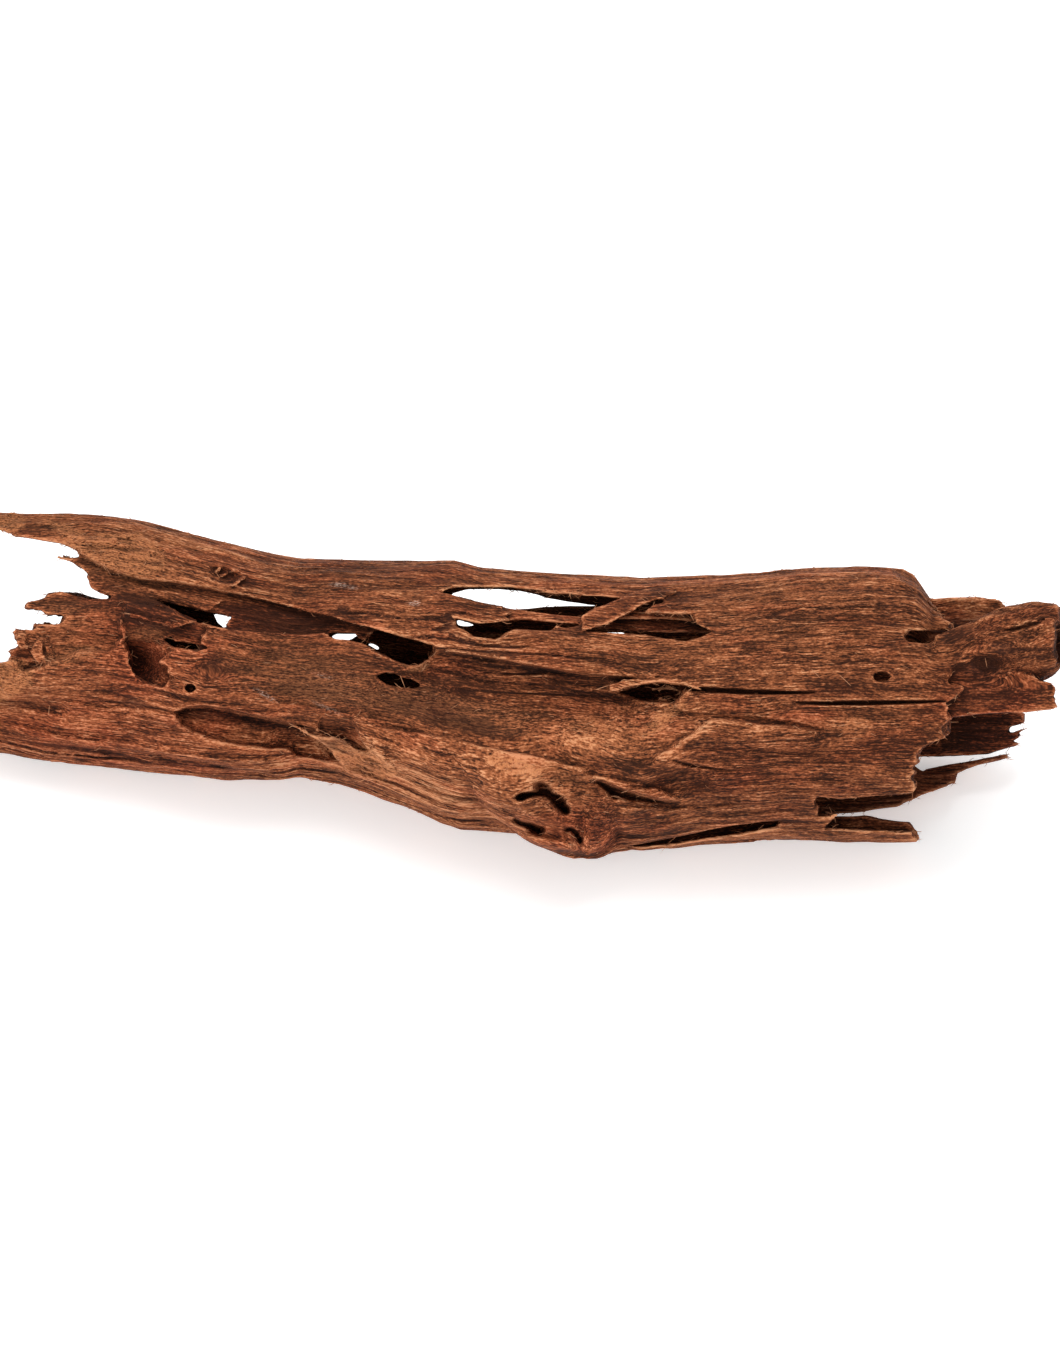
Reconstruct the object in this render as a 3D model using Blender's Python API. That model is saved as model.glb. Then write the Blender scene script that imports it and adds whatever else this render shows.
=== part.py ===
"""A hollow, weathered mangrove root that lies on its side.

The root is described as it looks in the picture: x runs right and y runs down, both in
pixels of the picture, and the depth w runs towards the viewer, in metres. The picture looks
down on the root at VIEW_TILT. The function place() turns such a point into the part's frame,
with +X along the root, +Z up and the floor at z = 0.

The trunk is one lofted shell with a hollow heart. Openings, pockets and broken ends are
prisms along the line of sight that are cut from it. The shell is then split at its forks.
"""
import math

import bmesh
import bpy
import numpy as np
from mathutils import Vector

# Driving dimensions, in metres and radians
PIXEL = 0.0004
VIEW_TILT = math.radians(45.0)
WALL = 0.0095
TOP_WALL = 0.0065
NODE_GAP = 0.0003
LEDGE = 0.0035
FAR_OUT = 0.16

# The frame's origin: middle of the root's length and width, on the floor
MIDDLE_X = 509.35
LEVEL_Y = 709.0
FRAME_SHIFT_Y = 0.0366

# Places where the shell is parted into limbs, trunk and side root
FORK_X = 440.0
STUB_X = 948.0

# Outer shell: upper and lower outline in the picture
TOP_LINE = (
    (-60, 508), (0, 512), (80, 513), (120, 516.5), (160, 525), (200, 535), (240, 545),
    (270, 553), (300, 557), (360, 559), (455, 561), (480, 567), (520, 570), (600, 574),
    (640, 576), (720, 574), (760, 571), (800, 567), (870, 567), (903, 570), (914, 578),
    (923, 589), (931, 599), (956, 597), (996, 599), (1035, 608),
)
BOTTOM_LINE = (
    (-60, 746), (0, 752), (40, 761), (120, 769), (200, 778), (265, 780.5), (300, 778),
    (340, 784), (370, 793), (400, 805), (440, 820), (480, 828), (515, 832), (560, 838),
    (612, 843), (660, 845), (720, 843), (760, 841), (840, 842), (910, 842), (1035, 836),
)
# Half depth of the shell as a share of its half height, and how far its underside is lifted
DEPTH_RATIO = ((-60, 0.42), (0, 0.55), (100, 0.80), (220, 1.0), (420, 0.97), (900, 1.0), (1035, 0.92))
LIFT = (
    (-60, 0.012), (0, 0.008), (110, 0.0), (270, 0.0), (360, 0.005), (500, 0.006),
    (600, 0.0), (840, 0.0), (930, 0.003), (1035, 0.007),
)
FLOOR_SINK = 0.0016
# The depth of the shell follows its outlines averaged over this many pixels either way
DEPTH_WINDOW = 90.0

# Rings of the lofts
STATION_STEP = 25.0
KNOT_STATION_STEP = 12.0
FRONT_RING_STEPS = 22
BACK_RING_STEPS = 17
HEART_START_X = 52.0
HEART_STATION_STEP = 45.0
HEART_RING_STEPS = 20

# Relief of the front: crests as (points, height, width in pixels)
CRESTS = (
    (((372, 744), (430, 752), (490, 768), (525, 776)), 0.0042, 17.0),
    (((640, 764), (669, 749), (699, 731), (712, 724), (749, 727), (800, 730)), 0.0028, 15.0),
    (((5, 690), (50, 672), (81, 664), (110, 662)), 0.0022, 14.0),
    (((60, 724), (160, 742), (280, 768)), 0.0018, 12.0),
)
KNOT_CENTRE = (552.0, 808.0)
KNOT_ANGLE = math.radians(-62.0)
KNOT_HALF_LENGTH = 62.0
KNOT_HALF_ANGLE = math.radians(52.0)
KNOT_HEIGHT = 0.0120

# Long flutes of the weathered grain: (count round the shell, height, twist per pixel, phase)
FLUTES = (
    (3, 0.0026, 0.0042, 0.6),
    (5, 0.0022, -0.0061, 2.1),
    (8, 0.0014, 0.0087, 4.0),
)
FRONT_FLUTE_SHARE = 0.25

# Left end: everything left of this ragged line is broken away, the white gap of the fork too
LEFT_END = (
    (-90, 480), (-14, 480), (-18, 512), (-19, 519), (-12, 527), (0, 531), (9, 535), (39, 540),
    (57, 543), (65, 546), (76, 550), (77, 557), (55, 557), (70, 561), (89, 572), (87, 576),
    (93, 588), (110, 597), (87, 597), (58, 591), (39, 599), (25.5, 608), (41, 610), (62, 615),
    (59, 624), (38, 624), (35, 630), (15, 630), (21, 647), (13, 652), (14, 660), (-12, 664),
    (-22, 673), (-30, 675), (-38, 688), (-33, 699), (-45, 711), (-50, 729), (-46, 743),
    (-49, 800), (-90, 800),
)
LEFT_END_LEAN = 260.0
LEFT_END_DEPTH = 0.064
# Recess under the lip of the upper limb, left of the open cleft
STRAND_RECESS = (
    (76, 550), (87, 557), (108, 569), (143, 579), (178, 583), (209, 588), (230, 594),
    (222, 606), (205, 616), (160, 604), (110, 600), (70, 590), (50, 560),
)
# Recess above the ridge of the lower limb's left lobe
LOBE_RECESS = (
    (-10, 640), (22, 672), (39, 667), (61, 658), (81, 650), (112, 653), (120, 639),
    (121, 617), (128, 604), (60, 575), (-20, 600),
)
LOBE_RECESS_DEPTH = 0.006
# Bite in the front wall of the lower limb, open towards the cleft
BITE = (
    (124, 640), (128, 656), (132, 672), (147, 683), (165, 688), (175, 678), (168, 667),
    (159, 662.5), (172, 651), (174, 645), (185, 645), (198, 653), (206, 647), (201.5, 643),
    (209, 629), (201, 620), (166, 630), (150, 641),
)
# Open cleft between the limbs, in front
CLEFT = (
    (143, 596), (178, 601), (204, 611), (213, 610), (222, 600), (228, 592), (245, 596), (295, 608), (349, 622), (389, 633), (434, 646), (434, 655),
    (421, 665), (409, 666), (393, 660), (375, 650), (364, 643), (349, 640), (337, 640),
    (331, 637), (324, 634), (301, 635), (280, 634), (242, 631), (216, 627), (192, 620), (165, 606),
)
# Holes through the back wall, seen through the cleft and the windows
BACK_HOLES = (
    ((208, 612), (231, 617), (227, 620), (226, 627), (220, 628), (213, 622)),
    ((326, 637), (334, 632), (360, 633), (349, 640), (337, 641)),
    ((362, 642), (372, 643), (380, 648), (378, 651), (371, 649)),
    ((448, 594), (466, 586), (500, 586), (560, 594), (602, 604), (583, 606), (528, 608),
     (513.5, 609), (486, 605), (470, 599)),
    ((453, 618), (475, 624), (466, 627), (457, 626)),
    ((603, 632), (626, 632), (626, 636), (603, 636)),
)
# Windows in the front wall: one opening round a tongue of wood that ends at (506, 622)
WINDOW = (
    (440, 592), (460, 586), (481, 584), (532, 590), (575, 592), (606, 596), (635, 600),
    (663, 598), (661, 604), (650, 606), (647, 614), (691, 615), (696, 625), (712, 632),
    (702, 638), (685, 642), (646, 636), (594, 632), (538, 631), (514, 630), (497, 640.5),
    (474, 636.5), (458, 627), (455, 619), (497, 623), (506, 621.5), (500, 607), (470, 601),
)
# Narrow splits in the plate
SPLITS = (
    ((655, 677), (686, 686.5), (740, 690), (813, 692.5), (740, 692.5), (686, 689.5)),
    ((793, 703), (839, 701.5), (896, 700.5), (943, 701), (896, 703.5), (839, 704.5)),
)
SPLIT_DEPTH = 0.006
# Valley between the raised lip and the tan ridge: a trough that fades out at both ends
VALLEY = (
    (434, 650), (483, 656), (542, 667), (600, 675), (660, 679), (690, 700), (672, 728),
    (620, 752), (559, 757), (495, 746), (426, 733), (378, 728), (318, 722), (330, 700),
    (385, 694), (424, 686), (428, 668),
)
VALLEY_DEPTH = 0.0065
# Oval cavity in the lower limb, with the torn recess at its right end
CAVITY = (
    (175, 713), (183, 706), (191, 704), (206, 703.5), (263, 715.5), (294, 725), (326, 749),
    (334, 758), (315, 760.5), (289, 750), (263, 749), (206, 737.5), (183, 727),
)
CAVITY_DEPTH = 0.0085
TORN_RECESS = ((302, 725), (330, 728), (358, 729), (372, 748), (362, 752), (340, 745), (318, 737))
TORN_RECESS_DEPTH = 0.0035
# Round holes of borers and rotten branches: (x, y, half width, half height)
BORE_HOLES = ((191.0, 688.0, 5.5, 4.5), (878.0, 677.0, 8.5, 5.0))
EYE_HOLE = (
    (377, 676), (387, 672), (402, 677), (421, 684), (419.5, 688), (400.5, 687), (385, 681),
)
KNOT_HOLES = (
    ((514, 797), (520, 791), (535, 788), (541, 781), (551, 789), (565, 801), (569, 810),
     (562, 812), (551, 801), (541, 796), (521, 801)),
    ((512, 819), (516, 816), (533, 820), (547, 828), (541, 836), (526, 828)),
    ((564, 827), (570, 826), (580, 837), (574, 838)),
)
KNOT_HOLE_DEPTH = 0.014
KNOT_SLIT = ((590, 778), (600, 777), (630, 790), (672, 801), (630, 797), (608, 790))
PLATE_SLOT = ((900, 637), (906, 630), (919, 631), (946, 631), (950, 644), (919, 644), (904, 643))
# Lower split between the plate and the bottom strip
LOWER_SPLIT = (
    (621, 847), (680, 835), (732, 824), (780, 820), (776, 826), (726, 835), (680, 842),
)
# Right end of the front wall: this area is broken away in front
PLATE_END = (
    (925, 586), (928, 603.5), (938, 615), (948, 624), (948, 684), (961, 685), (955, 695),
    (943, 704), (941, 716), (942, 736), (919, 746), (912.6, 763), (907, 767), (909, 774),
    (913, 786), (909, 792), (838, 798), (813, 796), (813, 815), (831, 815), (824, 828),
    (880, 830), (912, 831), (925, 850), (1110, 850), (1110, 560), (930, 560),
)
# Right end of the whole shell: everything right of this ragged line is broken away
RIGHT_END = (
    (1003, 560), (1003, 606), (996, 640), (1004, 690), (1010, 712), (1025, 714),
    (1023.5, 724.5), (1009, 727.5), (1011, 733), (1025, 729), (1010, 740.5), (1021, 738),
    (1011, 744), (1004, 748), (978, 755), (927, 756.5), (915, 761.5), (927, 770.4),
    (958, 766), (985, 760), (1008, 755), (1010, 757.5), (988, 763), (958, 772), (956, 782),
    (927, 792), (909, 798), (893.5, 806.4), (858, 812.5), (833, 815), (833, 817),
    (866, 816), (881, 819.5), (909, 822.5), (919, 835), (911, 860), (1110, 860), (1110, 560),
)
# Bottom strip: its hidden back half is broken away too
STRIP_BACK = ((836, 800), (836, 870), (960, 870), (960, 800))
# Flat slab that lies inside the front wall and stands out at the right end
SLAB = (
    (922, 690), (952, 688), (1000, 686.5), (1036, 685), (1053, 688), (1054, 706),
    (1023, 711.5), (943, 716), (922, 712),
)
SLAB_DEPTH = (0.014, 0.0045)
# Splinters that stand on the skin: (outline, depth below the skin, height above it)
SPLINTERS = (
    (((581, 617), (606, 605), (640, 591), (672, 590), (676, 600), (658, 601), (629, 613),
      (596, 634), (583, 633)), 0.0045, 0.0020),
    (((601, 687), (624, 680.5), (640, 677), (676, 678), (700, 690), (682, 685), (640, 684)),
     0.0050, 0.0010),
)
# Side root at the right end: (x, middle y, half height, half depth below the skin)
STUB_RINGS = (
    (948, 657, 26.5, 0.0056), (960, 655, 29, 0.0072), (980, 649.5, 34, 0.0100),
    (1005, 643.5, 39, 0.0130), (1036, 641, 39.5, 0.0142), (1054, 642, 35, 0.0135),
    (1064, 643, 28, 0.0110),
)
STUB_FRONT_X = 948.0
STUB_RING_STEPS = 20
STUB_PIT = (983.0, 662.0, 12.0, 7.0)
STUB_PIT_DEPTH = 0.004
STUB_END_HOLLOW = (0.0085, 0.010)
STUB_GROOVE = ((994, 632), (1022, 625.5), (1038, 621), (1022, 629))
# Seam between the limbs: it runs along the cleft's back, from the fork to the trunk
LIMB_SEAM = (
    (-80, 600), (20, 590), (60, 583), (110, 597.5), (150, 606), (207, 615), (222, 622),
    (231, 621), (280, 629), (329, 636), (349, 637), (372, 646), (390, 650), (FORK_X + 20, 653),
)

# Colours of the wood, linear, from the lighter torn places to the dark heart
LIMB_COLOUR = (0.19, 0.072, 0.034, 1.0)
TRUNK_COLOUR = (0.17, 0.062, 0.030, 1.0)
STUB_COLOUR = (0.13, 0.050, 0.024, 1.0)


def read_line(line, x):
    """Height of a polyline, given as (x, value) points, at x."""
    return float(np.interp(x, [p[0] for p in line], [p[1] for p in line]))


def even_line(line, x):
    """Height of a polyline, averaged over DEPTH_WINDOW either way."""
    places = [x + DEPTH_WINDOW * share for share in (-1.0, -0.6, -0.2, 0.2, 0.6, 1.0)]
    return sum(read_line(line, place) for place in places) / len(places)


def smooth_step(low, high, value):
    t = min(max((value - low) / (high - low), 0.0), 1.0)
    return t * t * (3.0 - 2.0 * t)


def distance_to_line(points, x, y):
    """Distance in pixels from (x, y) to a polyline."""
    best = 1e9
    for (ax, ay), (bx, by) in zip(points, points[1:]):
        dx, dy = bx - ax, by - ay
        t = min(max(((x - ax) * dx + (y - ay) * dy) / (dx * dx + dy * dy), 0.0), 1.0)
        best = min(best, math.hypot(x - ax - t * dx, y - ay - t * dy))
    return best


def place(x, y, w):
    """Point of the part's frame for picture point (x, y) at depth w."""
    along = (x - MIDDLE_X) * PIXEL
    up = (LEVEL_Y - y) * PIXEL
    sine, cosine = math.sin(VIEW_TILT), math.cos(VIEW_TILT)
    return Vector((along, up * sine - w * cosine + FRAME_SHIFT_Y, up * cosine + w * sine))


def section(x):
    """Middle y and half height in pixels, half depth and middle depth in metres, at x."""
    top, bottom = read_line(TOP_LINE, x), read_line(BOTTOM_LINE, x)
    middle, half_height = (top + bottom) / 2.0, (bottom - top) / 2.0
    even_top, even_bottom = even_line(TOP_LINE, x), even_line(BOTTOM_LINE, x)
    even_middle, even_height = (even_top + even_bottom) / 2.0, (even_bottom - even_top) / 2.0
    half_depth = even_height * PIXEL * read_line(DEPTH_RATIO, x)
    sine, cosine = math.sin(VIEW_TILT), math.cos(VIEW_TILT)
    reach = math.hypot(even_height * PIXEL * cosine, half_depth * sine)
    rise = (LEVEL_Y - even_middle) * PIXEL * cosine
    depth = (reach - FLOOR_SINK + read_line(LIFT, x) - rise) / sine
    return middle, half_height, half_depth, depth


def relief(x, theta):
    """Height of the outer skin over its plain section; theta is 0 in front, 90 degrees on top."""
    middle, half_height, _, _ = section(x)
    front = math.cos(theta)
    share = FRONT_FLUTE_SHARE if front > 0.0 else 1.0
    fade = min(abs(front) * 2.5, 1.0) * share
    height = 0.0
    for count, size, twist, phase in FLUTES:
        height += fade * size * math.sin(count * theta + twist * x + phase)
    if front > 0.0:
        y = middle - half_height * math.sin(theta)
        for points, size, width in CRESTS:
            height += size * math.exp(-((distance_to_line(points, x, y) / width) ** 2))
    along = (x - KNOT_CENTRE[0]) / KNOT_HALF_LENGTH
    turn = math.remainder(theta - KNOT_ANGLE, 2.0 * math.pi) / KNOT_HALF_ANGLE
    height += KNOT_HEIGHT * max(1.0 - along * along - turn * turn, 0.0) ** 1.5
    return height


def skin_depth(x, y):
    """Depth of the front skin at picture point (x, y)."""
    middle, half_height, half_depth, depth = section(x)
    sine = min(max((middle - y) / half_height, -0.985), 0.985)
    theta = math.asin(sine)
    return depth + (half_depth + relief(x, theta)) * math.cos(theta)


def wall(x, theta):
    """Thickness of the shell: thin over the windows, thick behind the cavity and the knot."""
    degrees = math.degrees(theta)
    over_window = smooth_step(410, 450, x) * smooth_step(740, 700, x)
    over_window *= smooth_step(10, 40, degrees) * smooth_step(170, 140, degrees)
    thickness = WALL + (TOP_WALL - WALL) * over_window
    low_front = smooth_step(-110, -85, degrees) * smooth_step(25, 0, degrees)
    thickness += 0.008 * smooth_step(130, 175, x) * smooth_step(420, 380, x) * low_front
    thickness += 0.006 * smooth_step(380, 430, x) * smooth_step(680, 630, x) * low_front
    knot = max(1.0 - ((x - KNOT_CENTRE[0]) / 110.0) ** 2, 0.0)
    thickness += 0.013 * knot * smooth_step(-125, -85, degrees) * smooth_step(-5, -35, degrees)
    return thickness + 0.022 * smooth_step(150, HEART_START_X, x)


def loft(name, rings):
    """Closed solid through rings of points that all have the same count."""
    mesh = bmesh.new()
    loops = [[mesh.verts.new(point) for point in ring] for ring in rings]
    for first, second in zip(loops, loops[1:]):
        for i in range(len(first)):
            j = (i + 1) % len(first)
            mesh.faces.new((first[i], first[j], second[j], second[i]))
    mesh.faces.new(loops[0])
    mesh.faces.new(list(reversed(loops[-1])))
    bmesh.ops.triangulate(mesh, faces=mesh.faces[:])
    return finish_mesh(name, mesh)


def finish_mesh(name, mesh):
    """Makes an object of a closed mesh, with its faces pointing out."""
    mesh.normal_update()
    bmesh.ops.recalc_face_normals(mesh, faces=mesh.faces[:])
    if mesh.calc_volume(signed=True) < 0.0:
        bmesh.ops.reverse_faces(mesh, faces=mesh.faces[:])
    data = bpy.data.meshes.new(name)
    mesh.to_mesh(data)
    mesh.free()
    solid = bpy.data.objects.new(name, data)
    bpy.context.scene.collection.objects.link(solid)
    return solid


def picture_prism(name, outline, back, front, max_edge=None, lean=(0.0, 0.0)):
    """Closed solid seen as the outline in the picture, between two depths.

    back and front give the depth at a picture point. With max_edge the outline is filled with
    smaller faces, so that its back can follow a curved depth. lean is (pixels to the right per
    metre of depth away from the viewer, depth at which the outline is in place).
    """
    mesh = bmesh.new()
    mesh.faces.new([mesh.verts.new((x, y, 0.0)) for x, y in outline])
    bmesh.ops.triangulate(mesh, faces=mesh.faces[:])
    while max_edge:
        long_edges = [edge for edge in mesh.edges if edge.calc_length() > max_edge]
        if not long_edges:
            break
        bmesh.ops.subdivide_edges(mesh, edges=long_edges, cuts=1)
        bmesh.ops.triangulate(mesh, faces=mesh.faces[:])
    grown = bmesh.ops.extrude_face_region(mesh, geom=mesh.faces[:], use_keep_orig=True)
    moved = {item for item in grown["geom"] if isinstance(item, bmesh.types.BMVert)}
    for vert in mesh.verts:
        x, y = vert.co.x, vert.co.y
        w = front(x, y) if vert in moved else back(x, y)
        vert.co = place(x + lean[0] * (lean[1] - w), y, w)
    return finish_mesh(name, mesh)


def combine(target, tool, operation):
    """Applies one exact Boolean to the target and removes the tool."""
    modifier = target.modifiers.new(operation, "BOOLEAN")
    modifier.operation = operation
    modifier.solver = "EXACT"
    modifier.object = tool
    bpy.context.view_layer.update()
    evaluated = target.evaluated_get(bpy.context.evaluated_depsgraph_get())
    old = target.data
    target.data = bpy.data.meshes.new_from_object(evaluated)
    target.modifiers.clear()
    bpy.data.meshes.remove(old)
    bpy.data.objects.remove(tool)


def cut_front(target, outline, depth=None, max_edge=None):
    """Cuts an outline through the front wall, or only to a depth below the skin."""
    def back(x, y):
        if depth is None:
            return section(x)[3]
        return skin_depth(x, y) - (depth(x, y) if callable(depth) else depth)
    tool = picture_prism("cutter", outline, back, lambda x, y: FAR_OUT * 1.5, max_edge)
    combine(target, tool, "DIFFERENCE")


def cut_back(target, outline):
    tool = picture_prism(
        "cutter", outline, lambda x, y: -FAR_OUT, lambda x, y: section(x)[3] + 0.004
    )
    combine(target, tool, "DIFFERENCE")


def cut_through(target, outline, lean=(0.0, 0.0)):
    tool = picture_prism(
        "cutter", outline, lambda x, y: -FAR_OUT, lambda x, y: FAR_OUT * 1.5, lean=lean
    )
    combine(target, tool, "DIFFERENCE")


def ellipse(x, y, half_width, half_height, steps=10):
    turns = [2.0 * math.pi * i / steps for i in range(steps)]
    return [(x + half_width * math.cos(t), y + half_height * math.sin(t)) for t in turns]


def ring_angles():
    """Angles round the shell, closer together on the front half."""
    front = [-90.0 + 180.0 * i / FRONT_RING_STEPS for i in range(FRONT_RING_STEPS)]
    back = [90.0 + 180.0 * i / BACK_RING_STEPS for i in range(BACK_RING_STEPS)]
    return [math.radians(angle) for angle in front + back]


def stations():
    """Places of the outer rings along the root, closer together at the knot."""
    places, x = [], -60.0
    while x < 1035.0:
        places.append(x)
        near_knot = abs(x - KNOT_CENTRE[0]) < KNOT_HALF_LENGTH
        near_shoulder = 880.0 < x < 940.0
        x += KNOT_STATION_STEP if near_knot or near_shoulder else STATION_STEP
    return places + [1035.0]


def outer_shell():
    rings = []
    for x in stations():
        middle, half_height, half_depth, depth = section(x)
        ring = []
        for theta in ring_angles():
            height = relief(x, theta)
            y = middle - (half_height + height / PIXEL) * math.sin(theta)
            w = depth + (half_depth + height) * math.cos(theta)
            ring.append(place(x, y, w))
        rings.append(ring)
    return loft("trunk", rings)


def heart():
    """The rotten heart: the hollow of the shell, open at the right end."""
    rings, x = [], HEART_START_X
    while x < 1060.0:
        middle, half_height, half_depth, depth = section(x)
        ring = []
        for i in range(HEART_RING_STEPS):
            theta = -math.pi / 2.0 + 2.0 * math.pi * i / HEART_RING_STEPS
            inset = wall(x, theta if theta <= math.radians(200.0) else theta - 2.0 * math.pi)
            y = middle - (half_height - inset / PIXEL) * math.sin(theta)
            w = depth + (half_depth - inset) * math.cos(theta)
            ring.append(place(x, y, w))
        rings.append(ring)
        x += HEART_STATION_STEP
    return loft("heart", rings)


def valley_depth(x, y):
    """Depth of the trough: a ledge at its upper edge, deepest in the middle, faded at its ends."""
    upper = read_line(((300, 690), (434, 650), (560, 670), (700, 684)), x)
    lower = read_line(((300, 722), (426, 733), (559, 757), (700, 720)), x)
    across = min(max((y - upper) / max(lower - upper, 1.0), 0.0), 1.0)
    fade = smooth_step(300, 400, x) * smooth_step(700, 600, x)
    return -0.0006 + (LEDGE + (VALLEY_DEPTH - LEDGE) * math.sin(math.pi * across)) * fade


def floor_block():
    """Everything below the floor, which the root's underside is worn flat against."""
    mesh = bmesh.new()
    bmesh.ops.create_cube(mesh, size=2.0)
    for vert in mesh.verts:
        vert.co.z -= 1.0
    return finish_mesh("floor", mesh)


def carve(shell):
    """Cuts every opening, pocket and broken end into the shell, and adds what stands on it."""
    combine(shell, heart(), "DIFFERENCE")
    cut_front(shell, VALLEY, valley_depth, max_edge=26.0)
    cut_front(shell, LOBE_RECESS, LOBE_RECESS_DEPTH, max_edge=40.0)
    cut_front(shell, STRAND_RECESS, 0.005, max_edge=40.0)
    cut_front(shell, CAVITY, CAVITY_DEPTH, max_edge=45.0)
    cut_front(shell, TORN_RECESS, TORN_RECESS_DEPTH)
    cut_front(shell, KNOT_SLIT, 0.004)
    for outline in SPLITS:
        cut_front(shell, outline, SPLIT_DEPTH)
    for outline in KNOT_HOLES:
        cut_front(shell, outline, KNOT_HOLE_DEPTH)
    for hole in BORE_HOLES:
        cut_front(shell, ellipse(*hole))
    for outline in (BITE, CLEFT, WINDOW, EYE_HOLE, PLATE_SLOT, LOWER_SPLIT, PLATE_END):
        cut_front(shell, outline)
    for outline in BACK_HOLES + (STRIP_BACK,):
        cut_back(shell, outline)
    cut_through(shell, LEFT_END, (LEFT_END_LEAN, LEFT_END_DEPTH))
    cut_through(shell, RIGHT_END)
    for outline, below, above in SPLINTERS:
        splinter = picture_prism(
            "splinter", outline,
            lambda x, y: skin_depth(x, y) - below, lambda x, y: skin_depth(x, y) + above,
        )
        combine(shell, splinter, "UNION")
    deep, shallow = SLAB_DEPTH
    slab = picture_prism(
        "slab", SLAB,
        lambda x, y: skin_depth(min(x, 1000), y) - deep,
        lambda x, y: skin_depth(min(x, 1000), y) - shallow,
    )
    combine(shell, slab, "UNION")
    combine(shell, floor_block(), "DIFFERENCE")


def side_root():
    """The stubby side root, with a pit, a groove and a hollow broken end."""
    rings = []
    for x, y_middle, half_height, half_depth in STUB_RINGS:
        middle_depth = skin_depth(STUB_FRONT_X, 660) - half_depth
        ring = []
        for i in range(STUB_RING_STEPS):
            theta = 2.0 * math.pi * i / STUB_RING_STEPS
            wave = 1.0 + 0.035 * math.sin(3.0 * theta + x * 0.02)
            y = y_middle - half_height * wave * math.sin(theta)
            w = middle_depth + half_depth * wave * math.cos(theta)
            ring.append(place(x + NODE_GAP / PIXEL if x == STUB_X else x, y, w))
        rings.append(ring)
    stub = loft("end_stub", rings)
    end_x, end_y, end_half, end_depth = STUB_RINGS[-1]
    middle_depth = skin_depth(STUB_FRONT_X, 660) - end_depth
    radius, length = STUB_END_HOLLOW
    hollow = []
    for x, share in ((end_x - length / PIXEL, 0.45), (end_x - 8, 0.8), (end_x + 10, 1.05)):
        hollow.append([
            place(x, end_y + radius / PIXEL * share * math.sin(t),
                  middle_depth + radius * share * math.cos(t))
            for t in (2.0 * math.pi * i / 12 for i in range(12))
        ])
    combine(stub, loft("hollow", hollow), "DIFFERENCE")

    def stub_skin(x, y):
        half_depth = read_line([(r[0], r[3]) for r in STUB_RINGS], x)
        half_height = read_line([(r[0], r[2]) for r in STUB_RINGS], x)
        y_middle = read_line([(r[0], r[1]) for r in STUB_RINGS], x)
        side = min(abs(y - y_middle) / half_height, 0.95)
        return skin_depth(STUB_FRONT_X, 660) - half_depth * (1.0 - math.sqrt(1.0 - side * side))

    for outline, depth in ((ellipse(*STUB_PIT), STUB_PIT_DEPTH), (STUB_GROOVE, 0.003)):
        tool = picture_prism(
            "cutter", outline, lambda x, y: stub_skin(x, y) - depth, lambda x, y: FAR_OUT * 1.5
        )
        combine(stub, tool, "DIFFERENCE")
    return stub


def keep_largest_body(solid):
    """Drops the crumbs that a cut leaves, so that the solid is one closed body."""
    mesh = bmesh.new()
    mesh.from_mesh(solid.data)
    left, bodies = set(mesh.verts), []
    while left:
        stack, body = [left.pop()], set()
        while stack:
            vert = stack.pop()
            body.add(vert)
            for edge in vert.link_edges:
                other = edge.other_vert(vert)
                if other in left:
                    left.remove(other)
                    stack.append(other)
        bodies.append(body)
    bodies.sort(key=len, reverse=True)
    for body in bodies[1:]:
        bmesh.ops.delete(mesh, geom=list(body), context="VERTS")
    bmesh.ops.remove_doubles(mesh, verts=mesh.verts[:], dist=0.00002)
    bmesh.ops.dissolve_degenerate(mesh, edges=mesh.edges[:], dist=0.00002)
    bmesh.ops.triangulate(mesh, faces=mesh.faces[:])
    mesh.to_mesh(solid.data)
    mesh.free()


def shifted(line, dy):
    return [(x, y + dy) for x, y in line]


def split_nodes(shell):
    """Splits the shell at the fork into trunk, upper limb and lower limb."""
    half = NODE_GAP / PIXEL / 2.0
    above = shifted(LIMB_SEAM, -half)
    below = shifted(LIMB_SEAM, half)
    left, fork = -120.0, FORK_X - half
    regions = {
        "upper_limb": [p for p in above if p[0] < fork]
        + [(fork, read_line(above, fork)), (fork, 470), (left, 470)],
        "lower_limb": [p for p in below if p[0] < fork]
        + [(fork, read_line(below, fork)), (fork, 890), (left, 890)],
        "trunk": [(FORK_X + half, 470), (1120, 470), (1120, 890), (FORK_X + half, 890)],
    }
    nodes = []
    for name, outline in regions.items():
        node = bpy.data.objects.new(name, shell.data.copy())
        bpy.context.scene.collection.objects.link(node)
        region = picture_prism(
            "region", outline, lambda x, y: -FAR_OUT, lambda x, y: FAR_OUT * 1.5
        )
        combine(node, region, "INTERSECT")
        nodes.append(node)
    bpy.data.objects.remove(shell)
    return nodes


def wood(name, colour, roughness):
    material = bpy.data.materials.new(name)
    material.use_nodes = True
    shader = material.node_tree.nodes["Principled BSDF"]
    shader.inputs["Base Color"].default_value = colour
    shader.inputs["Roughness"].default_value = roughness
    shader.inputs["Metallic"].default_value = 0.0
    return material


def dress(node, material):
    keep_largest_body(node)
    node.data.materials.clear()
    node.data.materials.append(material)
    node.data.shade_smooth()
    node.data.set_sharp_from_angle(angle=math.radians(40.0))


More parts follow.
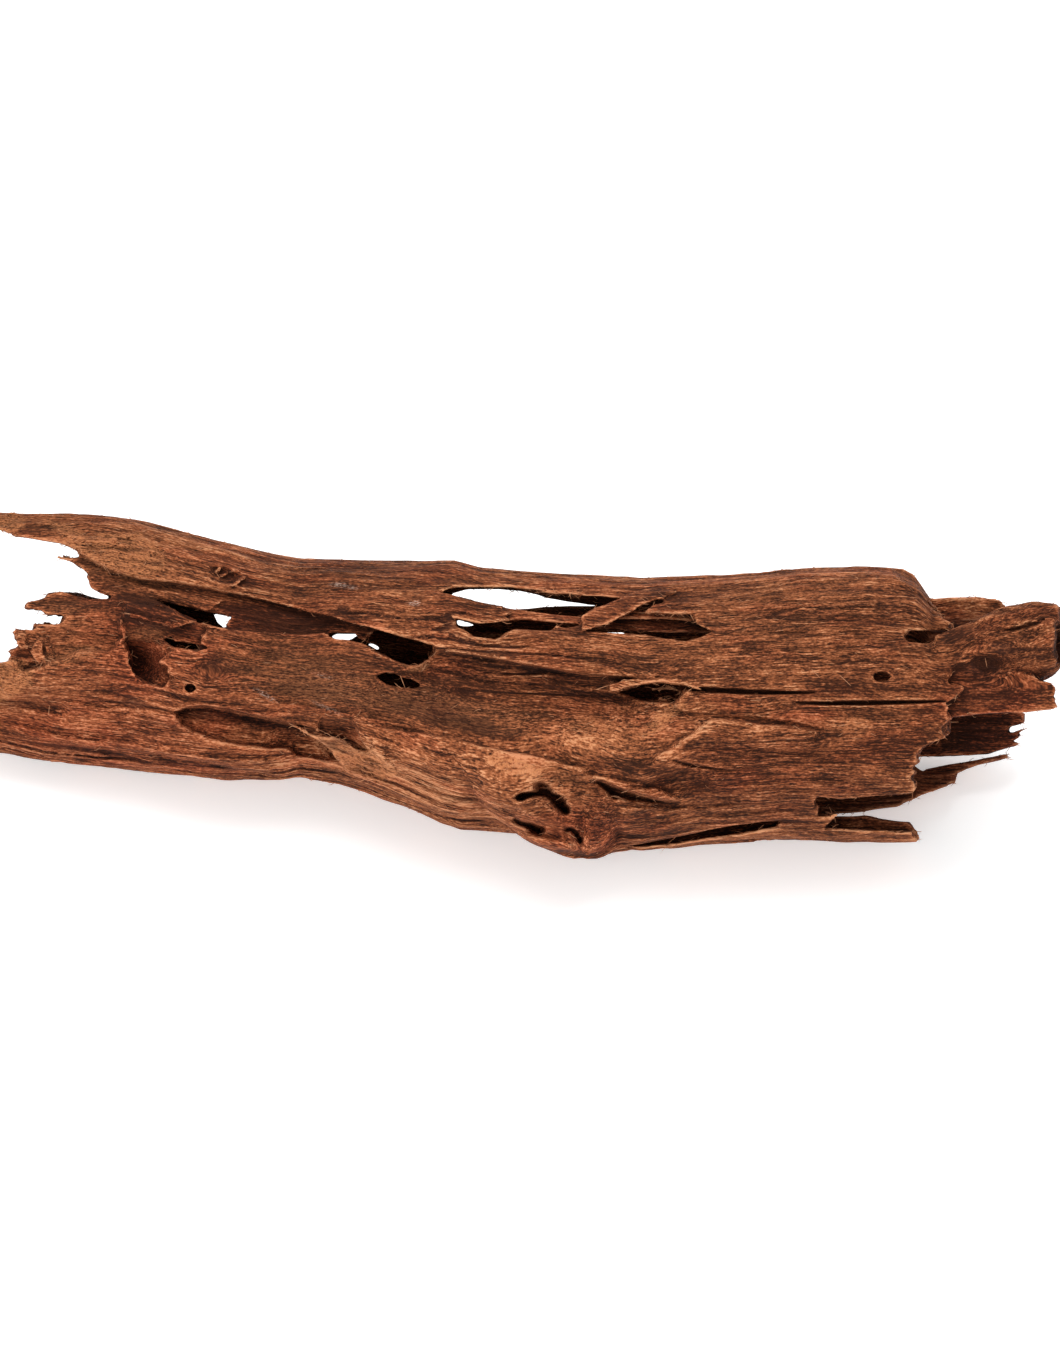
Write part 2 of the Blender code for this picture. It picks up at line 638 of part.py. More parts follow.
def build():
    for item in list(bpy.data.objects):
        bpy.data.objects.remove(item)
    shell = outer_shell()
    shell.name = "shell"
    carve(shell)
    nodes = {node.name: node for node in split_nodes(shell)}
    nodes["end_stub"] = side_root()
    dress(nodes["upper_limb"], wood("upper_limb_wood", LIMB_COLOUR, 0.8))
    dress(nodes["lower_limb"], wood("lower_limb_wood", LIMB_COLOUR, 0.8))
    dress(nodes["trunk"], wood("trunk_wood", TRUNK_COLOUR, 0.8))
    dress(nodes["end_stub"], wood("end_stub_wood", STUB_COLOUR, 0.85))


build()
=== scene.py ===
"""Dressed model of a hollow, weathered mangrove root that lies on its side.

The wood is described as it looks in the picture: x runs right and y runs down, both in pixels
of the picture, and the depth w runs towards the viewer, in millimetres. The wood is a field of
signed distances on a grid in that space, closer across the grain than along it. Its surface is
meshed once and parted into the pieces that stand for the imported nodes.
"""
import math

import bpy
import numpy as np
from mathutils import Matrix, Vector


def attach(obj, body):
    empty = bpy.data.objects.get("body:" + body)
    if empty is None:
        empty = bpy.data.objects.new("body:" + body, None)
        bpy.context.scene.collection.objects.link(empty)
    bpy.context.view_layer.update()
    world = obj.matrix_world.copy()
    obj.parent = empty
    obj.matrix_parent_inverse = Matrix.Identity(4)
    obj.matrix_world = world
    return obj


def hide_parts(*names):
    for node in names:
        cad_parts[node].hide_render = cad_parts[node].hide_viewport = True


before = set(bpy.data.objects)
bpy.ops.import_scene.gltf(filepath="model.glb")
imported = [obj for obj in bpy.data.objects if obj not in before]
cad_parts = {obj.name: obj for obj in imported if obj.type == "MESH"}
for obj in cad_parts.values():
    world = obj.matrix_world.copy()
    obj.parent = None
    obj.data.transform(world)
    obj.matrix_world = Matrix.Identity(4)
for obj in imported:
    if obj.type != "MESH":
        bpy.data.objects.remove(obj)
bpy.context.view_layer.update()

# The picture's frame, as in the part's source: size of a pixel in millimetres, tilt of the view,
# place of the frame's origin, and how far the frame is shifted to the back, in millimetres
PIXEL = 0.4
VIEW_TILT = math.radians(45.0)
MIDDLE_X = 509.35
LEVEL_Y = 709.0
FRAME_SHIFT_Y = 36.6
# Wall of the shell, and of its top over the window, in millimetres
WALL = 9.5
TOP_WALL = 6.5
# Where the limbs part from the trunk, and where the stub begins
FORK_X = 440.0
STUB_X = 948.0
# Place and depth that the camera looks at, and the picture's height
PICTURE_CENTRE = (530.0, 685.5, 75.0)
PICTURE_HEIGHT = 1371.0

# Grid of the field: pixels along and across the picture, millimetres of depth
STEP_X, STEP_Y, STEP_W = 3.4, 1.5, 0.85
XS = np.arange(-66.0, 1078.0, STEP_X, dtype=np.float32)
YS = np.arange(500.0, 868.0, STEP_Y, dtype=np.float32)
WS = np.arange(-4.0, 138.0, STEP_W, dtype=np.float32)
NX, NY, NW = len(XS), len(YS), len(WS)
# Steps of angle round the shell in the tables of its skin and wall
BINS = 3600
# Detail is worked out this near to the plain wood and, where splinters or layers are, from this
# far behind the shell's middle, in millimetres
DETAIL_REACH, LAYER_REACH = 3.2, 14.0

# Upper and lower edge of the wood in the picture
TOP_LINE = (
    (-60, 508), (0, 512), (80, 511.5), (110, 513), (130, 516.5), (160, 525.5), (200, 536),
    (240, 548), (270, 555.5), (300, 562), (330, 561.5), (400, 563), (455, 562), (480, 569),
    (520, 573), (600, 576.5), (640, 579), (720, 576), (760, 572.5), (800, 569), (870, 566.5),
    (903, 568.5), (914, 574), (923, 587), (931, 598.5), (956, 597), (975, 595), (996, 597.5),
    (1035, 608),
)
BOTTOM_LINE = (
    (-60, 746), (0, 752), (40, 761), (120, 769), (200, 779.5), (265, 782), (300, 779),
    (340, 784), (370, 793), (400, 804.5), (440, 823), (460, 828.5), (480, 830), (515, 833),
    (545, 832.5), (560, 835), (575, 838), (596, 839.5), (612, 843), (625, 848.5), (641, 850.5),
    (670, 848.5), (700, 844), (760, 842), (780, 840), (840, 841.5), (910, 841), (1035, 836),
)
# Half depth of the section for each half height, and how high the root lifts off the floor
DEPTH_RATIO = (
    (-60, 0.42), (0, 0.55), (100, 0.80), (220, 1.0), (420, 0.97), (900, 1.0), (1035, 0.92),
)
LIFT = (
    (-60, 12.0), (0, 8.0), (110, 0.0), (270, 0.0), (360, 5.0), (500, 6.0),
    (600, 0.0), (840, 0.0), (930, 3.0), (1035, 7.0),
)
# How far the underside would reach below the floor, in millimetres, where it is cut flat
FLOOR_SINK = 1.6
# Depths follow the mean of the edges over this many pixels to either side
DEPTH_WINDOW = 90.0

# Long swellings of the front skin: (line, height in millimetres, width in pixels)
CRESTS = (
    (((372, 744), (430, 752), (490, 768), (525, 776)), 4.2, 17.0),
    (((640, 764), (669, 749), (699, 731), (712, 724), (749, 727), (800, 730)), 2.8, 15.0),
    (((5, 690), (50, 672), (81, 664), (110, 662)), 2.2, 14.0),
    (((60, 724), (160, 742), (280, 768)), 1.8, 12.0),
)
# The knot: its middle, angle round the shell, half sizes and height in millimetres
KNOT_CENTRE = (552.0, 808.0)
KNOT_ANGLE = math.radians(-62.0)
KNOT_HALF_LENGTH = 62.0
KNOT_HALF_ANGLE = math.radians(52.0)
KNOT_HEIGHT = 11.0
# How far the knot's ridge leans to the right towards the underside, in pixels for a radian
KNOT_LEAN = 62.0
# The grain parts round a core of this radius, and is turned by so many radians near it
KNOT_CORE = 17.0
KNOT_WHIRL = 1.2
KNOT_WHIRL_REACH = 20.0
# Waves round the shell: (number, height, turn for a pixel along it, start); less on the front
FLUTES = ((3, 2.6, 0.0042, 0.6), (5, 2.2, -0.0061, 2.1), (8, 1.4, 0.0087, 4.0))
FRONT_FLUTE_SHARE = 0.25

LEFT_END = (
    (-90, 480), (-14, 480), (-18, 512), (-19, 519), (-12, 527), (0, 531), (9, 535), (39, 540),
    (57, 543), (65, 546), (76, 550), (77, 557), (55, 557), (70, 562), (86.5, 573.5), (85, 577.5),
    (91, 589), (110, 598.5), (87, 599.5), (70, 596), (56, 591), (43, 594), (38, 599),
    (24, 602.5), (22, 607.5), (38, 610), (44, 614), (62, 615), (58, 624), (31, 624), (28, 630),
    (8, 629.5), (14, 647), (6, 652), (8, 661), (-12, 664), (-22, 673), (-30, 675), (-38, 688),
    (-33, 699), (-45, 711), (-50, 729), (-46, 743), (-49, 800), (-90, 800),
)
# The left end leans: it is cut as drawn at this depth, and further left behind it
LEFT_END_LEAN = 0.26
LEFT_END_DEPTH = 64.0
# Part of the picture that is mapped for it, and how far right it counts
LEFT_END_MAP = (-120.0, 240.0)
LEFT_END_REACH = 200.0
STRAND_RECESS = (
    (76, 550), (87, 557), (108, 569), (143, 579), (178, 583), (209, 588), (230, 594),
    (222, 606), (205, 616), (160, 604), (110, 600), (70, 590), (50, 560),
)
LOBE_RECESS = (
    (-10, 640), (22, 672), (39, 667), (61, 658), (81, 650), (112, 653), (120, 639),
    (121, 617), (128, 604), (60, 575), (-20, 600),
)
BITE = (
    (124, 640), (128, 656), (132, 672), (147, 683), (165, 688), (175, 678), (168, 667),
    (159, 662.5), (172, 651), (174, 645), (185, 645), (198, 653), (206, 647), (201.5, 643),
    (209, 629), (201, 620), (166, 630), (150, 641),
)
CLEFT = (
    (143, 596), (178, 601), (204, 611), (213, 610), (222, 600), (228, 592), (245, 596),
    (295, 608), (349, 622), (389, 633), (434, 646), (434, 655), (421, 665), (409, 666),
    (393, 660), (375, 650), (364, 643), (349, 640), (337, 640), (331, 637), (324, 634),
    (301, 635), (280, 634), (242, 631), (216, 627), (192, 620), (165, 606),
)
BACK_HOLES = (
    ((208, 612), (231, 617), (227, 620), (226, 627), (220, 628), (213, 622)),
    ((327, 636.5), (334, 633), (358, 633.5), (349, 639.5), (337, 640)),
    ((362, 642.3), (371, 643), (378.5, 647), (377.5, 650.5), (373, 648.5)),
    ((448, 594), (466, 588.5), (500, 588.8), (520, 590.5), (538, 594), (547, 597.5),
     (565, 600.5), (602, 605.5), (575, 605.5), (545, 606.5), (528, 608.5), (513.5, 609),
     (486, 605), (470, 599)),
    ((454, 619), (463, 620.5), (475, 625), (464, 626), (457, 625)),
    ((603, 632), (626, 632), (626, 636), (603, 636)),
)
WINDOW = (
    (440, 592), (460, 588), (481, 587), (510, 588), (532, 590.5), (550, 593.5), (575, 595.5),
    (606, 597.5), (635, 600), (663, 598), (661, 604), (650, 606), (647, 614), (691, 615),
    (696, 625), (712, 632), (702, 638), (685, 642), (646, 636), (594, 632), (538, 631),
    (514, 630), (497, 640.5), (474, 636.5), (458, 627), (455, 619), (478, 624), (497, 622.5),
    (507, 621), (502, 617.5), (510, 614), (500, 610), (501, 607.5), (470, 601),
)
SPLITS = (
    ((655, 677), (686, 686), (720, 688.5), (760, 690.5), (813, 692.5), (760, 694), (720, 692.5),
     (680, 690)),
    ((620, 692), (641, 685), (666, 681.6), (683, 687), (678, 696), (671, 703), (641, 700)),
    ((666, 757.5), (693, 763.5), (726, 769.5), (693, 766), (680, 763)),
    ((793, 703), (839, 701.5), (896, 700.5), (943, 701), (896, 703.5), (839, 704.5)),
)
SPLIT_DEPTHS = (6.5, 7.0, 2.0, 6.0)
VALLEY = (
    (434, 650), (483, 656), (542, 667), (600, 675), (660, 679), (690, 700), (672, 728),
    (620, 752), (559, 757), (495, 746), (426, 733), (378, 728), (318, 722), (300, 680),
    (400, 672), (421, 667),
)
# The valley is deepest below the first of these lines and runs out at the second
VALLEY_TOP = ((300, 690), (434, 650), (560, 670), (700, 684))
VALLEY_BOTTOM = ((300, 722), (426, 733), (559, 757), (700, 720))
CAVITY = (
    (175, 713), (183, 706), (191, 704), (206, 703.5), (229, 707.5), (263, 715.5), (294, 722),
    (315, 727), (321, 733), (324, 742), (334, 750), (342, 762), (332, 762), (310, 757.5),
    (297, 756), (289, 750), (263, 749), (223, 741), (206, 737.5), (183, 727),
)
CAVITY_TOP = (
    (175, 713), (183, 706), (206, 703.5), (229, 707.5), (263, 715.5), (294, 722), (315, 727),
    (321, 733), (342, 762),
)
CAVITY_BOTTOM = ((175, 716), (183, 727), (206, 737.5), (263, 749), (297, 756), (342, 762))
TORN_RECESS = (
    (318, 700), (350, 700), (357, 727), (366, 738), (374, 747), (368, 752), (357, 751),
    (350, 745), (334, 738), (323, 736), (318, 728),
)
BORE_HOLES = ((191.0, 688.0, 5.5, 4.5), (878.0, 677.0, 8.5, 5.0))
EYE_HOLE = (
    (377, 676), (387, 672), (396, 673.5), (402, 677.5), (412, 679), (421, 684), (419.5, 688),
    (412, 688.5), (400.5, 687), (389, 685), (381, 680),
)
KNOT_HOLES = (
    ((515, 797), (520, 791), (535, 789), (536, 783), (541, 781), (548, 785), (551, 790),
     (561, 795), (565, 801), (569, 809), (567, 813), (562, 812), (556, 807), (551, 801),
     (545, 796), (537, 795), (529, 797), (521, 801)),
    ((512, 819), (516, 816), (523, 819), (533, 820), (543, 824), (547, 828), (541, 836),
     (531, 832), (526, 828), (516, 823)),
    ((564, 827), (568, 825), (574, 827), (579, 832), (581, 839), (579.5, 847), (577, 840),
     (574, 834), (570, 830), (566, 830)),
)
# Depth of each of these holes, and how soft its rim is, in millimetres
KNOT_HOLE_DEPTHS = ((14.0, 0.8), (6.5, 2.3), (6.0, 0.9))
KNOT_SLIT = (
    (591, 778), (600, 780.5), (628, 790), (648, 796), (676, 801.5), (650, 802.5), (630, 800),
    (622, 797), (614, 798.5), (604, 789),
)
PLATE_SLOT = ((900, 637), (906, 630), (919, 631), (946, 631), (950, 644), (919, 644), (904, 643))
LOWER_SPLIT = (
    (621, 847), (680, 835), (732, 824), (780, 820), (776, 826), (726, 835), (680, 842),
)
PLATE_END = (
    (925, 586), (928, 603.5), (938, 615), (948, 624), (948, 684), (961, 685), (955, 695),
    (943, 704), (941, 716), (942, 736), (919, 746), (912.6, 763), (907, 767), (909, 774),
    (913, 786), (909, 792), (838, 798), (813, 796), (813, 815), (831, 815), (824, 828),
    (880, 830), (912, 831), (925, 850), (1110, 850), (1110, 560), (930, 560),
)
RIGHT_END = (
    (1003, 560), (1003, 606), (996, 640), (1004, 690), (1010, 712), (1030, 713),
    (1029, 723), (1014, 727), (1012, 733), (1020, 733), (1031, 728.5), (1019, 737),
    (1028, 735), (1018, 741.5), (1024, 745), (1014, 748), (994, 754.5), (968, 756),
    (927, 757.5), (915, 761.5), (927, 771.5), (944, 768.5), (968, 764), (990, 759.5),
    (1012, 754.5), (1013, 758), (988, 765), (960, 774), (959, 783.5), (932, 793.5), (912, 800),
    (897, 806.4), (858, 812.5), (833, 815), (833, 817),
    (866, 816), (881, 819.5), (909, 822.5), (919, 835), (911, 860), (1110, 860), (1110, 560),
)
STRIP_BACK = ((836, 814), (836, 870), (960, 870), (960, 814))
SLAB = (
    (922, 684), (952, 680), (1000, 674), (1030, 676), (1037, 681), (1046, 682.5), (1051, 688),
    (1050, 697), (1052, 705), (1047, 709), (1020, 711.5), (985, 713), (943, 717), (922, 712),
)
SLAB_DEPTH = (14.0, 5.5)
# The slab keeps to the depth that the skin has here, further right too
SLAB_SKIN_X = 1000.0
# Layers of rotten wood inside the shell: (outline, depth of their face, thickness)
INNER_LAYERS = (
    (((60, 545), (100, 561), (143, 579), (209, 588), (245, 594), (295, 606), (345, 619),
      (376, 630), (366, 641), (357, 634.5), (334, 633.5), (329, 637), (318, 648), (290, 648),
      (250, 645), (229, 640), (227, 620), (231, 618), (208, 613.5), (204, 611), (176, 605),
      (153, 599), (131, 595), (116, 595), (100, 596), (60, 590)), 7.0, 4.5),
    (((112, 597), (131, 599), (147, 603), (166, 609), (192, 621), (212, 626), (220, 640),
      (210, 660), (190, 692), (150, 696), (120, 690), (112, 650)), 5.5, 5.0),
    (((492, 605), (513, 610), (540, 613.5), (565, 616.5), (590, 619), (590, 625), (560, 622.5),
      (530, 620.5), (507, 621), (492, 621)), 4.0, 4.0),
    (((596, 620), (622, 617), (655, 617.5), (690, 619), (712, 628), (704, 633), (670, 632.5),
      (630, 631), (596, 629)), 11.5, 4.0),
    (((606, 612), (640, 611), (668, 613), (700, 618), (690, 621), (650, 620), (606, 618)),
     7.0, 3.0),
    (((556, 626), (566, 628), (583, 627), (584, 636), (556, 636)), 2.0, 4.0),
)
# Bowl in the second of these layers: place, reach in pixels, depth
BOWL_LAYER = 1
BOWL = (137.0, 662.0, 21.0, 13.0)
SLIT = ((164, 640), (171, 634.7), (174.5, 641), (193, 643.5), (201, 646.5), (196, 650), (174, 647))
# Edges of layers of the front skin: (line, rise on its left, reach, rise on its right, reach)
LIPS = (
    (((411, 640), (467, 654), (534, 665), (568, 671.6), (601, 674), (664, 677)), 1.3, 16, 0.0, 5),
    (((360, 724), (400, 730), (426, 733), (460, 740), (486, 747), (534, 755), (563, 762),
      (600, 775)), -1.6, 9, 2.2, 22),
    (((646, 768), (655, 754.5), (675, 743), (699, 727), (706, 721), (716, 719.7), (741, 722),
      (766, 724.7), (804, 728), (830, 732)), -1.8, 10, 2.0, 30),
    (((671, 704), (678, 696.5), (688, 688)), -2.4, 12, 1.8, 26),
    (((671, 704), (680, 711), (694, 715), (724, 715), (766, 719), (799, 723), (832, 724)),
     1.2, 14, -0.6, 8),
    (((26, 670), (44, 665), (58, 657.7), (76.5, 650.8), (98, 651.5), (118, 655)), 0.0, 8, 1.4, 18),
    (((0, 723), (51, 734), (66, 737), (110, 742)), -0.6, 8, 0.9, 14),
    (((60, 701), (97, 707), (130, 708)), -0.5, 8, 0.9, 10),
    (((294, 716), (310, 718.5), (340, 724), (357, 726), (400, 727), (440, 733)), 0.6, 8, -0.4, 6),
    (((150, 751), (179.5, 758), (217, 764), (240, 769), (275, 773)), 1.2, 12, -1.4, 10),
    (((250, 686), (263, 696), (275, 701), (340, 712), (380, 719), (425, 727)), -0.7, 12, 1.0, 12),
    (((588, 777), (605, 781), (629, 790.5), (655, 797), (684, 801)), 2.6, 13, -2.0, 9),
    (((582, 772), (606, 776.5), (629, 783), (654, 786), (678, 798)), -1.6, 10, 0.8, 9),
    (((505, 802), (514, 787), (536, 776), (556, 780), (574, 798)), 0.8, 16, 1.2, 8),
    (((508, 815), (530, 812), (552, 818), (566, 824), (577, 822)), 0.6, 8, 0.8, 7),
    (((583, 812), (583, 830), (580, 848), (588, 858)), 0.9, 20, -0.9, 5),
    (((613, 800), (616, 815), (617, 830), (612, 845)), -0.5, 8, 0.3, 16),
    (((620, 806), (660, 808), (700, 806), (742, 802)), -0.5, 6, 0.8, 9),
    (((452, 752), (470, 778), (480, 800), (500, 816)), 0.6, 9, -0.5, 9),
    (((476, 748), (496, 772), (502, 796), (508, 812)), 0.7, 8, -0.6, 8),
    (((135, 585.7), (160, 590), (196, 595), (226, 602)), -1.0, 6, 0.8, 8),
    (((206, 628), (242, 631), (301, 635), (337, 640), (375, 651), (393, 660)), 0.0, 4, 1.0, 8),
    (((118, 648), (124, 640), (126, 630), (123, 615)), 1.0, 9, 0.0, 5),
    (((357, 727), (362, 736), (370, 747), (380, 760), (392, 772)), 1.9, 9, -1.0, 5),
    (((740, 690.5), (757, 700), (764, 708), (774, 711), (774, 701)), 0.7, 6, -0.5, 5),
    (((20, 520), (42, 518), (60, 531), (100, 541), (132, 531), (153, 549), (172, 562)),
     0.0, 5, 0.9, 14),
)
# Lumps and dents of the front skin: (x, y, half width, half height, turn, rise)
LUMPS = (
    (538, 809, 22, 9, 28, 3.6), (548, 842, 30, 6, 12, 2.6), (683, 778, 24, 13, 0, -2.2),
    (597, 826, 13, 34, -4, 2.8), (570, 839, 9, 7, 30, 1.3), (565, 851, 14, 3, 14, -1.5),
    (493, 792, 9, 24, -25, 1.4), (640, 822, 24, 12, -14, -1.2),
    (224, 574, 10, 6, 10, -2.2), (216, 571, 5, 4, 20, -1.2), (231, 577, 5, 3, -20, -1.4),
    (236, 570, 6, 3, 0, 0.9), (950, 637, 22, 8, 4, -1.6),
    (38, 706, 30, 6, 8, -1.8), (212, 671, 14, 15, 0, -1.6), (983, 662, 24, 16, 0, -1.2),
    (180, 690, 16, 8, 0, 0.8), (372, 790, 80, 10, 14, 1.0), (120, 745, 70, 6, 6, 0.9),
    (238, 581, 8, 2, -35, 1.6), (300, 572, 60, 7, 4, 0.9), (860, 600, 60, 10, 0, 0.8),
    (600, 690, 80, 7, 2, -1.2),
)
BEVEL = (
    (889, 573), (902, 584), (916, 591), (927, 603.5), (938, 615), (952, 624.5), (990, 600),
    (960, 580), (914, 560), (895, 560),
)
# Splinters that stand on the skin: (outline, depth below the skin, height above it)
SPLINTERS = (
    (((581, 617), (592, 610), (606, 605), (624, 597), (640, 591), (659, 587.5), (676, 592),
      (663, 599.6), (658, 600), (640, 605), (629, 613), (612, 622), (592, 629), (581, 631)),
     4.5, 2.0),
    (((294.5, 724.5), (308, 731.5), (321, 737.5), (324, 736.5), (334, 738), (350, 744),
      (358, 750), (368, 752), (354, 767), (346, 769), (341, 762), (334, 755), (332.5, 750),
      (322, 742.5), (305, 732)), 5.0, 0.7),
    (((356.5, 727), (360, 725), (366, 735), (374, 744), (384, 753), (397, 765), (404, 777),
      (388, 767), (376, 756), (368, 748), (361, 737)), 4.0, 1.1),
    (((332, 736.5), (340, 738.3), (349, 742), (347, 743.7), (338, 741), (331.5, 738.6)), 2.5, 1.7),
    (((601, 687), (624, 680.5), (640, 677), (676, 678), (700, 690), (682, 685), (658, 682),
      (640, 684), (622, 688.6), (608, 691)), 5.0, 1.0),
    (((29, 652), (33, 644), (37, 637), (42, 640), (42, 650), (45, 661), (41, 666), (35, 660)),
     9.0, -2.8),
    (((40, 636), (46, 641), (51, 650), (52, 658), (48, 663), (45, 650), (40, 642)), 9.0, -4.0),
    (((13, 634), (20, 632), (26, 634), (24, 641), (27, 648), (20, 650), (15, 643)), 9.0, -3.6),
    (((218, 577), (230, 570.5), (231, 572), (219.5, 578.5)), 4.0, -1.2),
    (((231.5, 585.5), (236, 586), (246, 578.5), (245, 576), (239, 578)), 2.0, 1.2),
    (((215, 571), (219, 566), (222, 566.5), (220, 571), (216, 574)), 3.0, 0.9),
)
# Rings of the stub: (x, middle y, half height in pixels, half depth in millimetres)
STUB_RINGS = (
    (930, 659, 24, 4.0), (948, 657, 26.5, 5.6), (960, 655, 29, 7.2), (980, 649.5, 34, 10.0),
    (1005, 643.5, 39, 13.0), (1036, 641, 39.5, 14.2), (1050, 639.5, 36, 13.8),
    (1064, 637, 26, 10.5),
)
# Where the stub touches the front skin, the pit on its front, and the hollow in its cut end
STUB_FRONT = (948.0, 660.0)
STUB_PIT = (983.0, 662.0, 14.0, 8.0)
STUB_HOLLOW_Y, STUB_HOLLOW_RADIUS, STUB_HOLLOW_LENGTH = 643.0, 8.5, 10.0
STUB_FIRST_X, STUB_LAST_X = 932.0, 1064.0
# Left, top and bottom of the picture's part where the stub joins, and where its paint begins
STUB_ZONE = (925.0, 590.0, 700.0)
STUB_PAINT_X = 945.0
STUB_GROOVE = ((990, 632.5), (1010, 628), (1030, 622.5), (1041, 619), (1032, 626), (1012, 631))
# The end is cut aslant, so that its front edge is nearer than its back edge
STUB_CUT_X = 1058.0
STUB_CUT_SLANT = 0.24
LIMB_SEAM = (
    (-80, 600), (20, 590), (60, 583), (110, 597.5), (150, 606), (207, 615), (222, 622),
    (231, 621), (280, 629), (329, 636), (349, 637), (372, 646), (390, 650), (460, 653),
)
# The trunk is meshed in three lengths and the lower limb in two, which meet at these places
TRUNK_PARTS = (610.0, 780.0)
LIMB_PART = 215.0
# Small knots that the grain parts round: (x, y, reach in millimetres)
SMALL_KNOTS = ((983, 662, 6.5), (222, 574, 3.5), (211, 671, 5.0), (878, 677, 2.0), (191, 688, 1.8))

